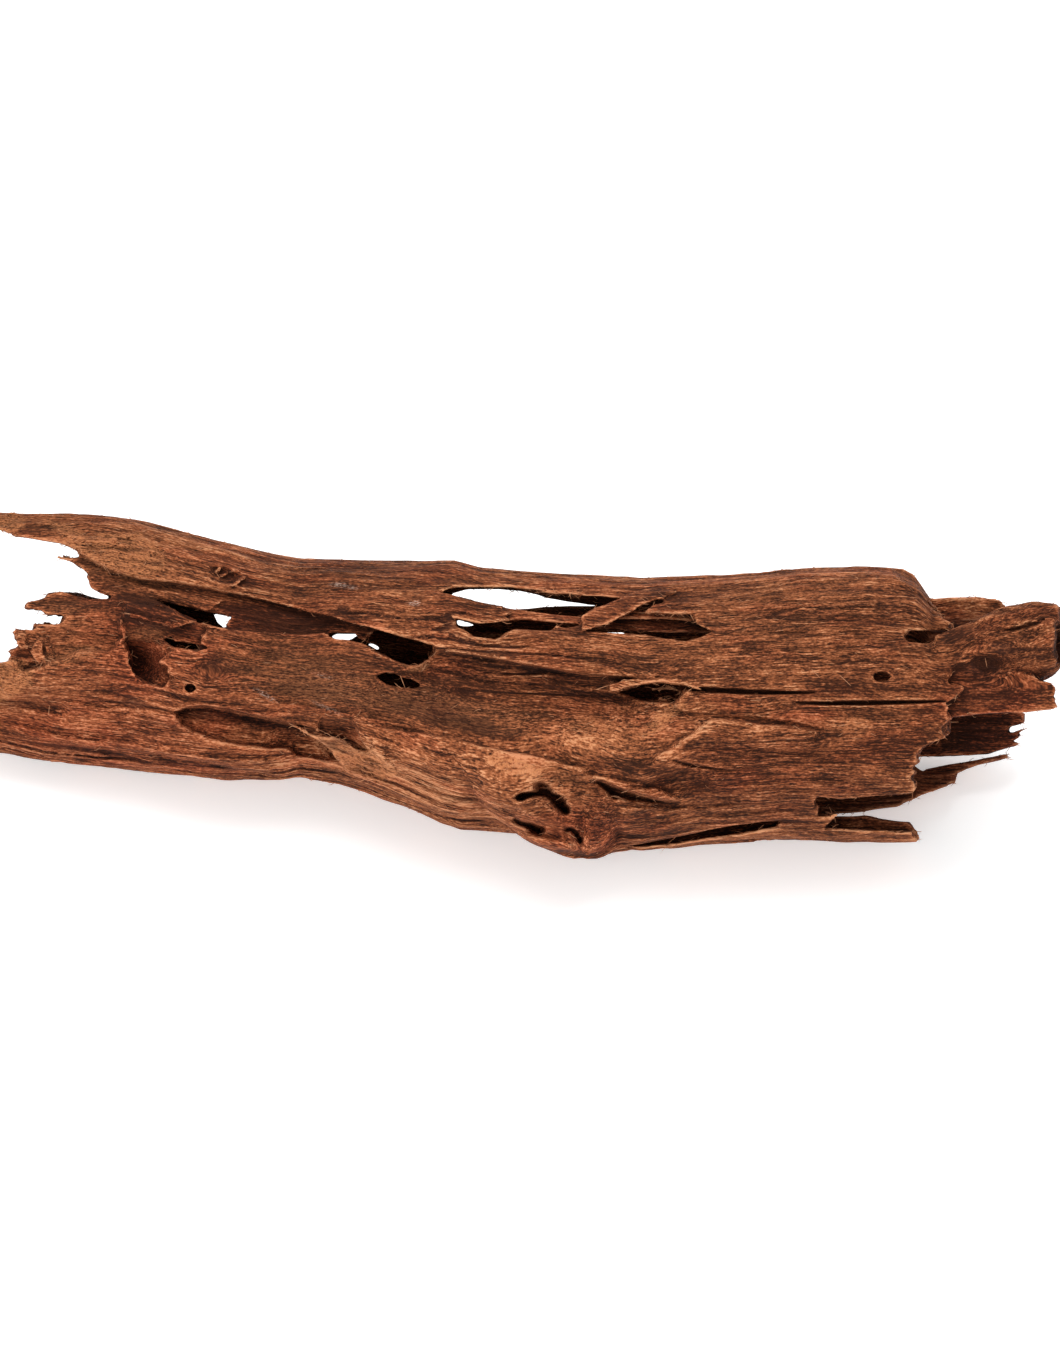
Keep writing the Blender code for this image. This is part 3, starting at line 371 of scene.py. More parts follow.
# Some of the darker places are painted shade under lips, in slits and on undersides
# Lighter and darker places of the front: (x, y, half width, half height, turn, amount)
TONES_AND_SHADE = (
    (450, 756, 90, 16, 14, 0.14), (530, 766, 34, 20, 40, 0.14), (450, 700, 90, 24, 8, -0.19),
    (700, 724, 50, 8, -12, 0.10), (660, 716, 16, 8, -60, 0.14), (322, 748, 30, 12, 40, 0.16),
    (376, 752, 7, 22, -40, 0.16), (680, 778, 26, 14, 0, -0.12), (1000, 645, 60, 45, 0, -0.10),
    (200, 560, 70, 16, 16, -0.05), (60, 740, 90, 24, 6, 0.08), (990, 735, 70, 24, 0, -0.3),
    (40, 706, 32, 8, 25, -0.2), (800, 600, 110, 30, 0, -0.03), (211, 671, 15, 16, 0, -0.22),
    (983, 663, 15, 9, 0, -0.3), (1000, 698, 70, 12, 0, -0.2), (930, 804, 100, 12, 0, -0.2),
    (345, 732, 22, 16, 20, -0.2), (300, 725, 26, 6, 15, -0.2), (680, 743, 26, 4, -36, 0.2),
    (222, 575, 12, 6, 0, -0.2), (320, 672, 110, 32, 8, -0.2), (780, 760, 110, 30, 0, -0.08),
    (880, 830, 60, 7, 0, 0.1), (20, 740, 60, 20, 6, 0.08), (60, 690, 60, 14, 0, 0.08),
    (600, 726, 60, 18, 0, 0.12), (640, 600, 14, 4, -40, 0.15), (560, 812, 22, 26, 0, 0.08),
    (470, 716, 60, 10, 10, -0.08), (540, 692, 110, 8, 8, -0.16), (290, 618, 70, 12, 6, -0.5),
    (160, 590, 50, 8, 12, -0.12), (135, 660, 14, 20, -20, -0.3), (650, 694, 26, 7, 0, -0.35),
    (400, 585, 110, 22, 3, -0.12), (230, 722, 50, 8, 10, -0.15), (110, 720, 110, 26, 4, 0.08),
    (160, 603, 50, 6, 12, -0.3), (60, 600, 34, 12, -20, 0.05), (150, 618, 42, 20, 8, -0.35),
    (950, 637, 22, 9, 4, -0.35), (224, 574, 9, 5, 0, -0.12), (980, 664, 24, 14, 0, -0.1),
    (368, 745, 14, 22, -40, 0.16), (330, 570, 110, 12, 5, -0.08), (180, 610, 60, 14, 10, -0.15),
    (420, 690, 70, 26, 8, -0.1), (760, 574, 120, 8, 0, 0.06),
    (146, 634, 20, 9, 0, -0.15), (12, 690, 26, 26, 0, 0.16), (15, 528, 34, 8, 6, -0.3),
    (560, 575, 90, 7, 3, 0.08), (530, 775, 40, 16, 30, 0.08), (330, 668, 110, 26, 8, -0.06),
    (1000, 697, 60, 12, 0, -0.06), (665, 626, 45, 8, 2, -0.15), (810, 612, 80, 26, 0, -0.05),
    (70, 602, 45, 9, 0, -0.28), (62, 628, 30, 8, 0, -0.12), (100, 576, 30, 10, 24, -0.12),
    (190, 548, 100, 12, 12, 0.15), (270, 630, 40, 8, 6, -0.18), (150, 656, 34, 14, 0, 0.14),
    (225, 668, 22, 10, 0, -0.14), (185, 688, 30, 8, 0, 0.14), (310, 691, 42, 11, 6, -0.4),
    (412, 707, 60, 11, 9, -0.2), (480, 728, 50, 9, 11, -0.46), (20, 732, 60, 13, 6, -0.18),
    (220, 745, 44, 9, 5, 0.12), (370, 762, 60, 16, 20, 0.16), (430, 792, 60, 18, 20, 0.2),
    (530, 767, 24, 12, 20, 0.26), (625, 768, 34, 11, 6, -0.3), (708, 787, 40, 12, 0, -0.22),
    (622, 808, 26, 14, 0, -0.16), (650, 830, 30, 14, 0, -0.14), (510, 604, 46, 8, 0, -0.3),
    (640, 600, 64, 13, 0, -0.18), (640, 664, 90, 13, 3, -0.16), (800, 688, 100, 9, 0, -0.22),
    (850, 706, 70, 10, 0, -0.14), (785, 628, 44, 9, 0, -0.12), (880, 588, 34, 10, 0, -0.14),
    (890, 750, 46, 24, 0, -0.15), (950, 672, 34, 10, 0, -0.22), (985, 690, 40, 8, 0, -0.12),
    (1035, 612, 24, 10, 0, -0.14), (860, 830, 50, 8, 0, -0.16), (505, 664, 55, 8, 8, -0.14),
    (560, 738, 50, 7, 4, 0.12), (682, 740, 32, 3, -38, 0.14), (657, 717, 16, 7, 0, 0.12),
    (75, 561, 22, 7, 30, -0.3), (88, 608, 40, 8, 0, -0.2), (135, 650, 22, 10, 0, 0.15),
    (338, 748, 24, 10, 30, 0.2), (300, 768, 30, 8, 10, 0.14), (255, 590, 20, 9, 0, 0.12),
    (415, 592, 26, 10, 0, 0.14), (500, 630, 26, 7, 0, 0.12), (575, 629, 24, 8, 0, -0.2),
    (655, 604, 24, 9, 0, -0.14), (175, 670, 16, 10, 0, 0.12), (1050, 665, 16, 36, 0, -0.25),
    (465, 690, 60, 8, 8, 0.1), (380, 706, 24, 9, 6, -0.15), (450, 788, 30, 12, 20, 0.16),
    (480, 808, 36, 10, 16, 0.14), (750, 810, 50, 9, 0, 0.12), (815, 806, 26, 9, 0, -0.2),
    (890, 828, 30, 9, 0, -0.12), (890, 650, 20, 9, 0, -0.12), (130, 708, 18, 9, 0, 0.12),
    (580, 855, 30, 5, 10, -0.3), (598, 826, 12, 30, 0, -0.05), (1056, 642, 5, 18, 0, -0.5),
    (47.5, 656, 6, 4.5, -35, -0.4), (46, 646, 10, 1.6, 48, -0.35), (35, 656, 9, 2.2, 55, 0.18),
    (18, 654, 6, 2.5, 25, -0.35), (33, 606, 9, 4.5, -10, -0.3), (50, 613, 13, 2.5, 5, -0.25),
    (330, 748, 24, 10, 30, 0.08), (490, 605, 30, 8, 0, -0.12), (895, 769, 20, 9, 0, -0.12),
)
# Small pale spots: (x, y, half width, half height, turn, amount)
PALE_SPOTS = (
    (415, 603.5, 5.5, 2.4, 0, 1.0), (340, 585, 9, 2.2, 3, 0.8), (352, 588, 6, 1.6, 3, 0.6),
    (266, 695, 12, 1.6, 32, 0.9), (324, 676, 9, 2, 15, 0.35), (328, 708, 14, 2, 24, 0.4),
)
# Redder places of the front: (x, y, half width, half height, turn, amount)
RED_PLACES = (
    (200, 660, 260, 60, 8, 0.6), (100, 740, 150, 40, 6, 0.75), (990, 700, 60, 40, 0, 0.7),
    (570, 835, 60, 22, 0, 0.6), (760, 770, 110, 30, 0, 0.35), (280, 618, 80, 14, 6, 0.6),
    (140, 640, 40, 40, 0, 0.6), (600, 826, 20, 34, 0, 0.5), (804, 718, 34, 9, 0, 0.6),
    (560, 800, 22, 22, 0, 0.3), (590, 612, 100, 24, 0, 0.5),
)
# Outlines of places where the wood is torn, pale and fuzzy
TORN_AREAS = (
    ((43, 518), (69, 526), (86, 538), (107, 535), (138, 532), (152, 541), (168, 564), (150, 572),
     (131, 575), (113, 570), (76, 550), (57, 543), (58, 531)),
    ((-60, 505), (8, 513), (20, 518), (19, 527), (8, 533), (-60, 540)),
    ((-60, 680), (0, 662), (20, 661), (31, 672), (29, 690), (10, 699), (-60, 712)),
    ((318, 738), (335, 738), (352, 744), (372, 750), (402, 774), (390, 782), (352, 771),
     (334, 757)),
    ((640, 735), (652, 718), (668, 705), (680, 705), (672, 716), (655, 733)),
    ((488, 752), (530, 760), (552, 768), (540, 780), (512, 776), (490, 764)),
    ((405, 664), (420, 667), (430, 662), (424, 672), (410, 672)),
)
# Places with a little loose fibre: (x, y, half width, half height, turn, amount)
TORN_PLACES = (
    (300, 670, 90, 40, 10, 0.2), (112, 556, 80, 24, 22, 0.35), (590, 735, 60, 20, 6, 0.3),
    (150, 640, 26, 14, 0, 0.4), (60, 625, 50, 25, 0, 0.3), (450, 710, 100, 22, 8, 0.15),
    (70, 655, 40, 8, -15, 0.5), (720, 640, 140, 30, 0, 0.1), (850, 724, 26, 6, 0, 0.4),
    (330, 690, 80, 26, 10, 0.2), (500, 700, 90, 20, 8, 0.12), (560, 780, 30, 14, 30, 0.3),
    (660, 690, 30, 8, -10, 0.3), (800, 600, 80, 24, 0, 0.15),
)

# Softness of the edges of openings, in millimetres
CUT_SOFT = 0.6
# Radius that the straightened wood is given round its middle, in millimetres
GRAIN_RADIUS = 50.0
# The grain runs on straight from here, where the shoulder at the right end is broken away
GRAIN_STRAIGHT_X = 850.0
# Loose parts of a piece with no more vertices than this are left out
LEAST_VERTICES = 150
# Grid steps either way of the mean that tells edges from crevices
NEAR_REACH = (1, 2, 2)
# How far up, in pixels, and out, in millimetres, a place looks for wood, for its painted shade
PAINTED_SHADE_REACH = ((5.0, 2.5), (12.0, 5.0))

PICTURE_X, PICTURE_Y = XS[:, None].astype(float), YS[None, :].astype(float)
LATTICE = np.random.default_rng(11).uniform(-1.0, 1.0, 64 ** 3).astype(np.float32)


def noise(a, b, c, seed):
    """Smooth noise from -1 to 1 with one cell per unit of a, b and c."""
    cells, parts = [], []
    for value, shift in ((a, seed * 7.31), (b, seed * 3.17), (c, seed * 5.57)):
        value = value + np.float32(shift)
        floor = np.floor(value)
        part = (value - floor).astype(np.float32)
        cells.append(floor.astype(np.int32))
        parts.append(part * part * (3.0 - 2.0 * part))
    total = np.zeros(parts[0].shape, np.float32)
    for da in (0, 1):
        wa = parts[0] if da else 1.0 - parts[0]
        ia = ((cells[0] + da) & 63) << 12
        for db in (0, 1):
            wab = wa * (parts[1] if db else 1.0 - parts[1])
            iab = ia + (((cells[1] + db) & 63) << 6)
            for dc in (0, 1):
                weight = wab * (parts[2] if dc else 1.0 - parts[2])
                total += weight * LATTICE[iab + ((cells[2] + dc) & 63)]
    return total


def map_noise(size_x, size_y, seed):
    """Noise of the picture, with cells of so many pixels."""
    x, y = np.float32(PICTURE_X / size_x), np.float32(PICTURE_Y / size_y)
    return noise(x + 0 * y, 0 * x + y, np.zeros((NX, NY), np.float32), seed)


def step(low, high, value):
    """Smooth rise from 0 at low to 1 at high."""
    t = np.clip((value - low) / (high - low), 0.0, 1.0)
    return t * t * (3.0 - 2.0 * t)


def read_line(line, x):
    return np.interp(x, [p[0] for p in line], [p[1] for p in line])


def even_line(line, x):
    """Mean of a line over DEPTH_WINDOW to either side."""
    shares = (-1.0, -0.6, -0.2, 0.2, 0.6, 1.0)
    return sum(read_line(line, x + DEPTH_WINDOW * s) for s in shares) / len(shares)


def section(x):
    """Middle y and half height in pixels, half depth and middle depth in millimetres."""
    top, bottom = read_line(TOP_LINE, x), read_line(BOTTOM_LINE, x)
    even_top, even_bottom = even_line(TOP_LINE, x), even_line(BOTTOM_LINE, x)
    even_middle, even_height = (even_top + even_bottom) / 2.0, (even_bottom - even_top) / 2.0
    half_depth = even_height * PIXEL * read_line(DEPTH_RATIO, x)
    sine, cosine = math.sin(VIEW_TILT), math.cos(VIEW_TILT)
    reach = np.hypot(even_height * PIXEL * cosine, half_depth * sine)
    rise = (LEVEL_Y - even_middle) * PIXEL * cosine
    depth = (reach - FLOOR_SINK + read_line(LIFT, x) - rise) / sine
    return (top + bottom) / 2.0, (bottom - top) / 2.0, half_depth, depth


def line_distance(points, x, y):
    """Distance in pixels from (x, y) to a polyline, and how far along it, from 0 to 1.

    The distance is positive on the right of the way that the polyline runs, which is below it
    where it runs to the right.
    """
    best, along, side = np.full(np.broadcast(x, y).shape, 1e9), 0.0, 1.0
    for i, ((ax, ay), (bx, by)) in enumerate(zip(points, points[1:])):
        dx, dy = bx - ax, by - ay
        t = np.clip(((x - ax) * dx + (y - ay) * dy) / (dx * dx + dy * dy), 0.0, 1.0)
        far = np.hypot(x - ax - t * dx, y - ay - t * dy)
        nearer = far < best
        along = np.where(nearer, (i + t) / (len(points) - 1), along)
        side = np.where(nearer, np.where(dx * (y - ay) > dy * (x - ax), 1.0, -1.0), side)
        best = np.minimum(best, far)
    return best * side, along


def outline_distance(outline, x, y):
    """Signed distance in millimetres to an outline in the picture, negative inside it."""
    inside = np.zeros(np.broadcast(x, y).shape, bool)
    closed = list(outline) + [outline[0]]
    for (ax, ay), (bx, by) in zip(closed, closed[1:]):
        if ay != by:
            crosses = (ay > y) != (by > y)
            inside ^= crosses & (x < (bx - ax) * (y - ay) / (by - ay) + ax)
    far = np.abs(line_distance(closed, x, y)[0])
    return np.where(inside, -far, far) * PIXEL


MIDDLE, HALF_HEIGHT, HALF_DEPTH, DEPTH = section(XS.astype(float))


def knot_turn(angle):
    """Angle from the knot, from minus pi to pi."""
    return np.remainder(angle - KNOT_ANGLE + np.pi, 2.0 * np.pi) - np.pi


def relief_table():
    """Height of the outer skin over its section, for each x and each angle round it."""
    theta = (np.arange(BINS) + 0.5) / BINS * 2.0 * np.pi - np.pi
    x, angle = XS[:, None].astype(float), theta[None, :]
    front = np.cos(angle)
    fade = np.minimum(np.abs(front) * 2.5, 1.0) * np.where(front > 0.0, FRONT_FLUTE_SHARE, 1.0)
    height = np.zeros((NX, BINS))
    for count, size, twist, phase in FLUTES:
        height += fade * size * np.sin(count * angle + twist * x + phase)
    y = MIDDLE[:, None] - HALF_HEIGHT[:, None] * np.sin(angle)
    for points, size, width in CRESTS:
        far, _ = line_distance(points, x, y)
        height += np.where(front > 0.0, size * np.exp(-((far / width) ** 2)), 0.0)
    turn = knot_turn(angle)
    along = (x - KNOT_CENTRE[0] + KNOT_LEAN * turn) / KNOT_HALF_LENGTH
    turn = turn / KNOT_HALF_ANGLE
    height += KNOT_HEIGHT * np.maximum(1.0 - along * along - turn * turn, 0.0) ** 1.5
    return height.astype(np.float32)


def wall_table():
    """Thickness of the wall, for each x and each angle round the shell."""
    degrees = ((np.arange(BINS) + 0.5) / BINS * 360.0 - 180.0)[None, :]
    degrees = np.where(degrees < -160.0, degrees + 360.0, degrees)
    x = XS[:, None].astype(float)
    over_window = step(410, 450, x) * step(740, 700, x)
    over_window = over_window * step(10, 40, degrees) * step(170, 140, degrees)
    thickness = WALL + (TOP_WALL - WALL) * over_window
    low_front = step(-110, -85, degrees) * step(25, 0, degrees)
    thickness = thickness + 8.0 * step(130, 175, x) * step(420, 380, x) * low_front
    thickness = thickness + 6.0 * step(380, 430, x) * step(680, 630, x) * low_front
    knot = np.maximum(1.0 - ((x - KNOT_CENTRE[0]) / 110.0) ** 2, 0.0)
    thickness = thickness + 13.0 * knot * step(-125, -85, degrees) * step(-5, -35, degrees)
    return (thickness + 22.0 * step(150, 52, x) + 60.0 * step(56, 50, x)).astype(np.float32)


RELIEF, THICKNESS = relief_table(), wall_table()


def bin_of(theta):
    return np.clip(((theta + np.pi) / (2.0 * np.pi) * BINS).astype(np.int32), 0, BINS - 1)


def look_up(table, x, theta):
    """Value of a table for each x and angle, straight between its places along x."""
    spot = np.clip((x - XS[0]) / STEP_X, 0, NX - 1.001)
    low = spot.astype(np.int32)
    part = (spot - low).astype(np.float32)
    turn = bin_of(theta)
    return table[low, turn] * (1.0 - part) + table[low + 1, turn] * part


def columns(x, *lines):
    """Values of lines that have one number for each of XS, at other places."""
    return [np.interp(x, XS, line).astype(np.float32) for line in lines]


def section_distance(u, v, half_depth, half_height):
    """Distance in millimetres from an ellipse, at places given in shares of its half sizes."""
    radius = np.maximum(np.hypot(u, v), 1e-3)
    size = np.hypot(half_depth * u, half_height * PIXEL * v) / radius
    return (radius - 1.0) * size


def round_place(x, y, w):
    """Angle round the shell, distance from its plain section, and share of its half depth."""
    middle, half_height, half_depth, depth = columns(x, MIDDLE, HALF_HEIGHT, HALF_DEPTH, DEPTH)
    u, v = (w - depth) / half_depth, (middle - y) / half_height
    return np.arctan2(v, u), section_distance(u, v, half_depth, half_height), u


GRAIN_MIDDLE, GRAIN_HALF = (
    np.interp(np.minimum(XS, GRAIN_STRAIGHT_X), XS, line) for line in (MIDDLE, HALF_HEIGHT)
)


def grain_space(x, y, w, below):
    """Place in straightened wood: along the grain, and two ways across it, in millimetres.

    below is the distance from the outer skin, positive outside. The grain parts round the knot.
    """
    middle, half_height, half_depth, depth = columns(
        x, GRAIN_MIDDLE, GRAIN_HALF, HALF_DEPTH, DEPTH
    )
    front = (w - depth) / half_depth
    slope = step(330.0, 520.0, x) * step(700.0, 580.0, x) * step(715.0, 800.0, y)
    y = y - 28.0 * slope * step(-0.1, 0.3, front)
    y = y + 2.5 * noise(x / 50.0, y / 24.0, w / 24.0, 29)
    y = y + 0.28 * np.maximum(x - STUB_X, 0.0) * step(690.0, 670.0, y)
    for knot_x, knot_y, size in SMALL_KNOTS:
        side = (y - knot_y) * PIXEL
        reach = np.hypot((x - knot_x) * PIXEL * 0.7, side) / size
        y = y - side / PIXEL * 0.9 / (1.0 + reach ** 3) * (front > 0.0)
    theta = np.arctan2((middle - y) / half_height, front)
    along, side = (x - KNOT_CENTRE[0]) * PIXEL, knot_turn(theta) * GRAIN_RADIUS
    reach = np.hypot(along, side)
    whirl = KNOT_WHIRL * np.exp(-((reach / KNOT_WHIRL_REACH) ** 2))
    along, side = (
        along * np.cos(whirl) - side * np.sin(whirl), along * np.sin(whirl) + side * np.cos(whirl)
    )
    along = along + KNOT_CENTRE[0] * PIXEL
    bent = side * (1.0 - 0.9 / (1.0 + (reach / KNOT_CORE) ** 2))
    angle = KNOT_ANGLE + bent / GRAIN_RADIUS
    radius = GRAIN_RADIUS + below
    return along, radius * np.cos(angle), radius * np.sin(angle)


def grain_relief(a, b, c):
    """Height of the weathered grain, and the share of cracks, at a place in straightened wood."""
    broad = noise(a / 55.0, b / 7.0, c / 7.0, 1)
    ridges = noise(a / 44.0, b / 2.1, c / 2.1, 2)
    fine = noise(a / 18.0, b / 1.25, c / 1.25, 3)
    knobs = noise(a / 8.0, b / 3.0, c / 3.0, 22)
    split = np.abs(noise(a / 42.0, b / 3.6, c / 3.6, 4))
    cracks = step(0.20, 0.02, split) * step(0.05, 0.45, noise(a / 50.0, b / 12.0, c / 12.0, 5))
    lumps = noise(a / 15.0, b / 6.0, c / 6.0, 25)
    height = 0.8 * broad + 0.42 * ridges + 0.30 * fine + 0.32 * knobs + 0.5 * lumps - 1.3 * cracks
    return height, cracks


def smooth_max(a, b, soft):
    gap = np.maximum(soft - np.abs(a - b), 0.0) / soft
    return np.maximum(a, b) + gap * gap * soft * 0.25


def painted(places, x, y):
    """Sum of soft ellipses of the picture at each picture point."""
    total = np.zeros(np.broadcast(x, y).shape)
    for middle_x, middle_y, half_width, half_height, turn, amount in places:
        cosine, sine = math.cos(math.radians(turn)), math.sin(math.radians(turn))
        along = ((x - middle_x) * cosine + (y - middle_y) * sine) / half_width
        across = ((y - middle_y) * cosine - (x - middle_x) * sine) / half_height
        total += amount * np.exp(-((along * along + across * across) ** 1.5))
    return total


def front_recess():
    """How far the front skin is lowered at each picture point, in millimetres."""
    x, y = PICTURE_X, PICTURE_Y
    jag, fine = map_noise(40.0, 5.0, 21), map_noise(10.0, 4.5, 26)
    x_torn, y_torn = x + 5.0 * jag, y + 1.5 * jag + 1.1 * fine

    def pressed(outline, high, low, at_x=x, at_y=y):
        return step(high, low, outline_distance(outline, at_x, at_y))

    upper, lower = read_line(VALLEY_TOP, x), read_line(VALLEY_BOTTOM, x)
    across = np.clip((y - upper) / np.maximum(lower - upper, 1.0), 0.0, 1.0)
    fade = step(340, 480, x) * step(700, 600, x)
    trough = (5.5 + 3.5 * step(0.0, 25.0, y - upper)) * (1.0 - 0.94 * step(0.3, 1.0, across))
    recess = trough * fade * pressed(VALLEY, 0.3, -0.9, x_torn)
    for points, left_rise, left_reach, right_rise, right_reach in LIPS:
        far, along = line_distance(points, x, y_torn)
        rise = np.where(
            far < 0.0, left_rise * np.exp(np.minimum(far, 0.0) / left_reach),
            right_rise * np.exp(-np.maximum(far, 0.0) / right_reach),
        )
        middle = (left_rise + right_rise) / 2.0
        rise = middle + (rise - middle) * step(0.0, 1.6, np.abs(far))
        recess -= rise * step(0.0, 0.12, along) * step(1.0, 0.88, along)
    recess -= painted(LUMPS, x, y)
    recess += np.clip(-1.1 * outline_distance(BEVEL, x, y), 0.0, 9.0)
    recess += 6.0 * pressed(LOBE_RECESS, 0.4, -0.9, x_torn)
    recess += 5.0 * pressed(STRAND_RECESS, 0.4, -0.9, x_torn)
    top, bottom = read_line(CAVITY_TOP, x), read_line(CAVITY_BOTTOM, x)
    down = np.clip((y - top) / np.maximum(bottom - top, 1.0), 0.0, 1.0)
    hollow = 11.5 * step(0.0, 0.14, down) * (1.0 - 0.72 * down)
    recess += hollow * pressed(CAVITY, 0.3, -0.9, at_y=y_torn)
    recess += 5.0 * (step(700.0, 745.0, y) * pressed(TORN_RECESS, 0.3, -0.8))
    # The plate falls away round the stub
    fall = np.clip(np.abs(y - 657.0) / 30.0, 0.0, 0.9)
    recess += (
        6.0 * (1.0 - np.sqrt(1.0 - fall * fall))
        * step(925.0, 952.0, x) * step(628.0, 640.0, y) * step(690.0, 680.0, y)
    )
    recess += 6.0 * pressed(KNOT_SLIT, 0.3, -1.0) * step(680.0, 610.0, x)
    # The ground of the bite slopes
    slope = step(608.0, 645.0, y) * step(654.0, 647.0, y)
    recess += 6.0 * slope * step(122.5, 125.5, x_torn) * step(184.0, 160.0, x)
    for outline, depth in zip(SPLITS, SPLIT_DEPTHS):
        recess += depth * pressed(outline, 0.5, -0.4)
    for outline, (depth, soft) in zip(KNOT_HOLES, KNOT_HOLE_DEPTHS):
        recess += depth * pressed(outline, 0.4, -soft, x + 1.2 * jag, y + 1.6 * jag)
    return recess.astype(np.float32)


def union_distance(outlines):
    """Distance in millimetres to the nearest of some outlines, at each picture point."""
    distances = [outline_distance(outline, PICTURE_X, PICTURE_Y) for outline in outlines]
    return np.minimum.reduce(distances).astype(np.float32)


def ellipse(x, y, half_width, half_height, steps=16):
    turns = [2.0 * math.pi * i / steps for i in range(steps)]
    return [(x + half_width * math.cos(t), y + half_height * math.sin(t)) for t in turns]


def skin_map():
    """Depth of the front skin at each picture point, in millimetres."""
    sine = np.clip((MIDDLE[:, None] - YS[None, :]) / HALF_HEIGHT[:, None], -0.985, 0.985)
    theta = np.arcsin(sine)
    x = np.broadcast_to(XS[:, None], theta.shape)
    return DEPTH[:, None] + (HALF_DEPTH[:, None] + look_up(RELIEF, x, theta)) * np.cos(theta)


def torn_map():
    """How torn and fuzzy the front is at each picture point, from 0 to 1."""
    rough = map_noise(9.0, 4.0, 23) + 0.6 * map_noise(24.0, 11.0, 24)
    areas = step(0.7, -0.7, union_distance(TORN_AREAS) + 1.3 * rough)
    places = painted(TORN_PLACES, XS[:, None], YS[None, :])
    return np.clip(areas + places, 0.0, 1.0).astype(np.float32)


RECESS, TORN, SKINS = front_recess(), torn_map(), skin_map()


def plain_field():
    """Distance of the plain shell on the grid, and the grid points where its detail counts."""
    field = np.empty((NX, NY, NW), np.float32)
    special = union_distance([row[0] for row in SPLINTERS + INNER_LAYERS] + [SLAB]) < 1.5
    left, top, bottom = STUB_ZONE
    special |= (PICTURE_X > left) & (PICTURE_Y > top) & (PICTURE_Y < bottom)
    picked = []
    y, w = YS[:, None], WS[None, :]
    for i in range(NX):
        u = (w - np.float32(DEPTH[i])) / np.float32(HALF_DEPTH[i])
        v = (np.float32(MIDDLE[i]) - y) / np.float32(HALF_HEIGHT[i])
        turn = bin_of(np.arctan2(v, u))
        plain = section_distance(u, v, HALF_DEPTH[i], HALF_HEIGHT[i])
        relief = RELIEF[i][turn]
        inner = np.minimum(relief, 0.0) - plain - THICKNESS[i][turn]
        field[i] = np.maximum(plain - relief, inner)
        layered = special[i][:, None] & (w > DEPTH[i] - LAYER_REACH)
        picked.append(np.flatnonzero((field[i] < DETAIL_REACH) | layered) + i * NY * NW)
    return field, np.concatenate(picked)


def cut(wood, distance, limit=-1e9):
    """Wood without what lies inside both distances, with a soft edge."""
    return smooth_max(wood, -np.maximum(distance, limit), CUT_SOFT)


def plate(distance, offset, low, high):
    """Distance to a plate with this outline, between two offsets from a surface."""
    return np.maximum(distance, np.abs(offset - (high + low) / 2.0) - (high - low) / 2.0)


def left_end_distance(x, w, iy, jag_x):
    """Distance to the air past the torn left end, negative in it."""
    map_x = np.arange(*LEFT_END_MAP, STEP_X)
    distance = outline_distance(LEFT_END, map_x[:, None], PICTURE_Y)
    slope = np.gradient(distance, STEP_X * PIXEL, axis=0)
    leaned = x - LEFT_END_LEAN * (LEFT_END_DEPTH - w)
    spot = np.clip((leaned - map_x[0]) / STEP_X, 0, len(map_x) - 1.001)
    low = spot.astype(int)
    part = spot - low
    end = distance[low, iy] * (1 - part) + distance[low + 1, iy] * part
    return (end + 0.6 * slope[low, iy] * jag_x).astype(np.float32)


def stub_distance(x, y, w, ix, iy):
    """Distance of the side root that is broken off short."""
    ring_x, *rings = zip(*STUB_RINGS)
    middle_y, half_height, half_depth = (np.interp(x, ring_x, ring) for ring in rings)
    front_x = int((STUB_FRONT[0] - XS[0]) / STEP_X)
    front_y = int((STUB_FRONT[1] - YS[0]) / STEP_Y)
    middle = SKINS[front_x, front_y] - half_depth
    u, v = (w - middle) / half_depth, (middle_y - y) / half_height
    bark = (
        1.1 * noise(x / 24.0, y / 9.0, w / 4.0, 14)
        + 0.45 * noise(x / 18.0, y / 4.0, w / 1.6, 15)
    )
    stub = section_distance(u, v, half_depth, half_height) - bark
    past_end = (x - STUB_CUT_X) * PIXEL + STUB_CUT_SLANT * (w - middle)
    past_end = past_end + 1.2 * noise(x / 9.0, y / 6.0, w / 3.0, 16)
    stub = smooth_max(stub, np.maximum(past_end, (x - STUB_LAST_X) * PIXEL), 2.0)
    stub = np.maximum(stub, (STUB_FIRST_X - x) * PIXEL)
    hollow = np.hypot((y - STUB_HOLLOW_Y) * PIXEL, w - middle)
    hollow = hollow - STUB_HOLLOW_RADIUS * step(-STUB_HOLLOW_LENGTH, -1.0, past_end)
    stub = smooth_max(stub, -np.where(past_end > -STUB_HOLLOW_LENGTH, hollow, 9.0), 1.0)
    pit = 1.0 - np.hypot((x - STUB_PIT[0]) / STUB_PIT[2], (y - STUB_PIT[1]) / STUB_PIT[3])
    pit = 3.0 * step(-0.5, 0.9, pit) * (u > 0)
    groove = 3.0 * step(0.3, -0.6, union_distance((STUB_GROOVE,)))[ix, iy] * (u > 0)
    return stub + np.maximum(pit, groove)


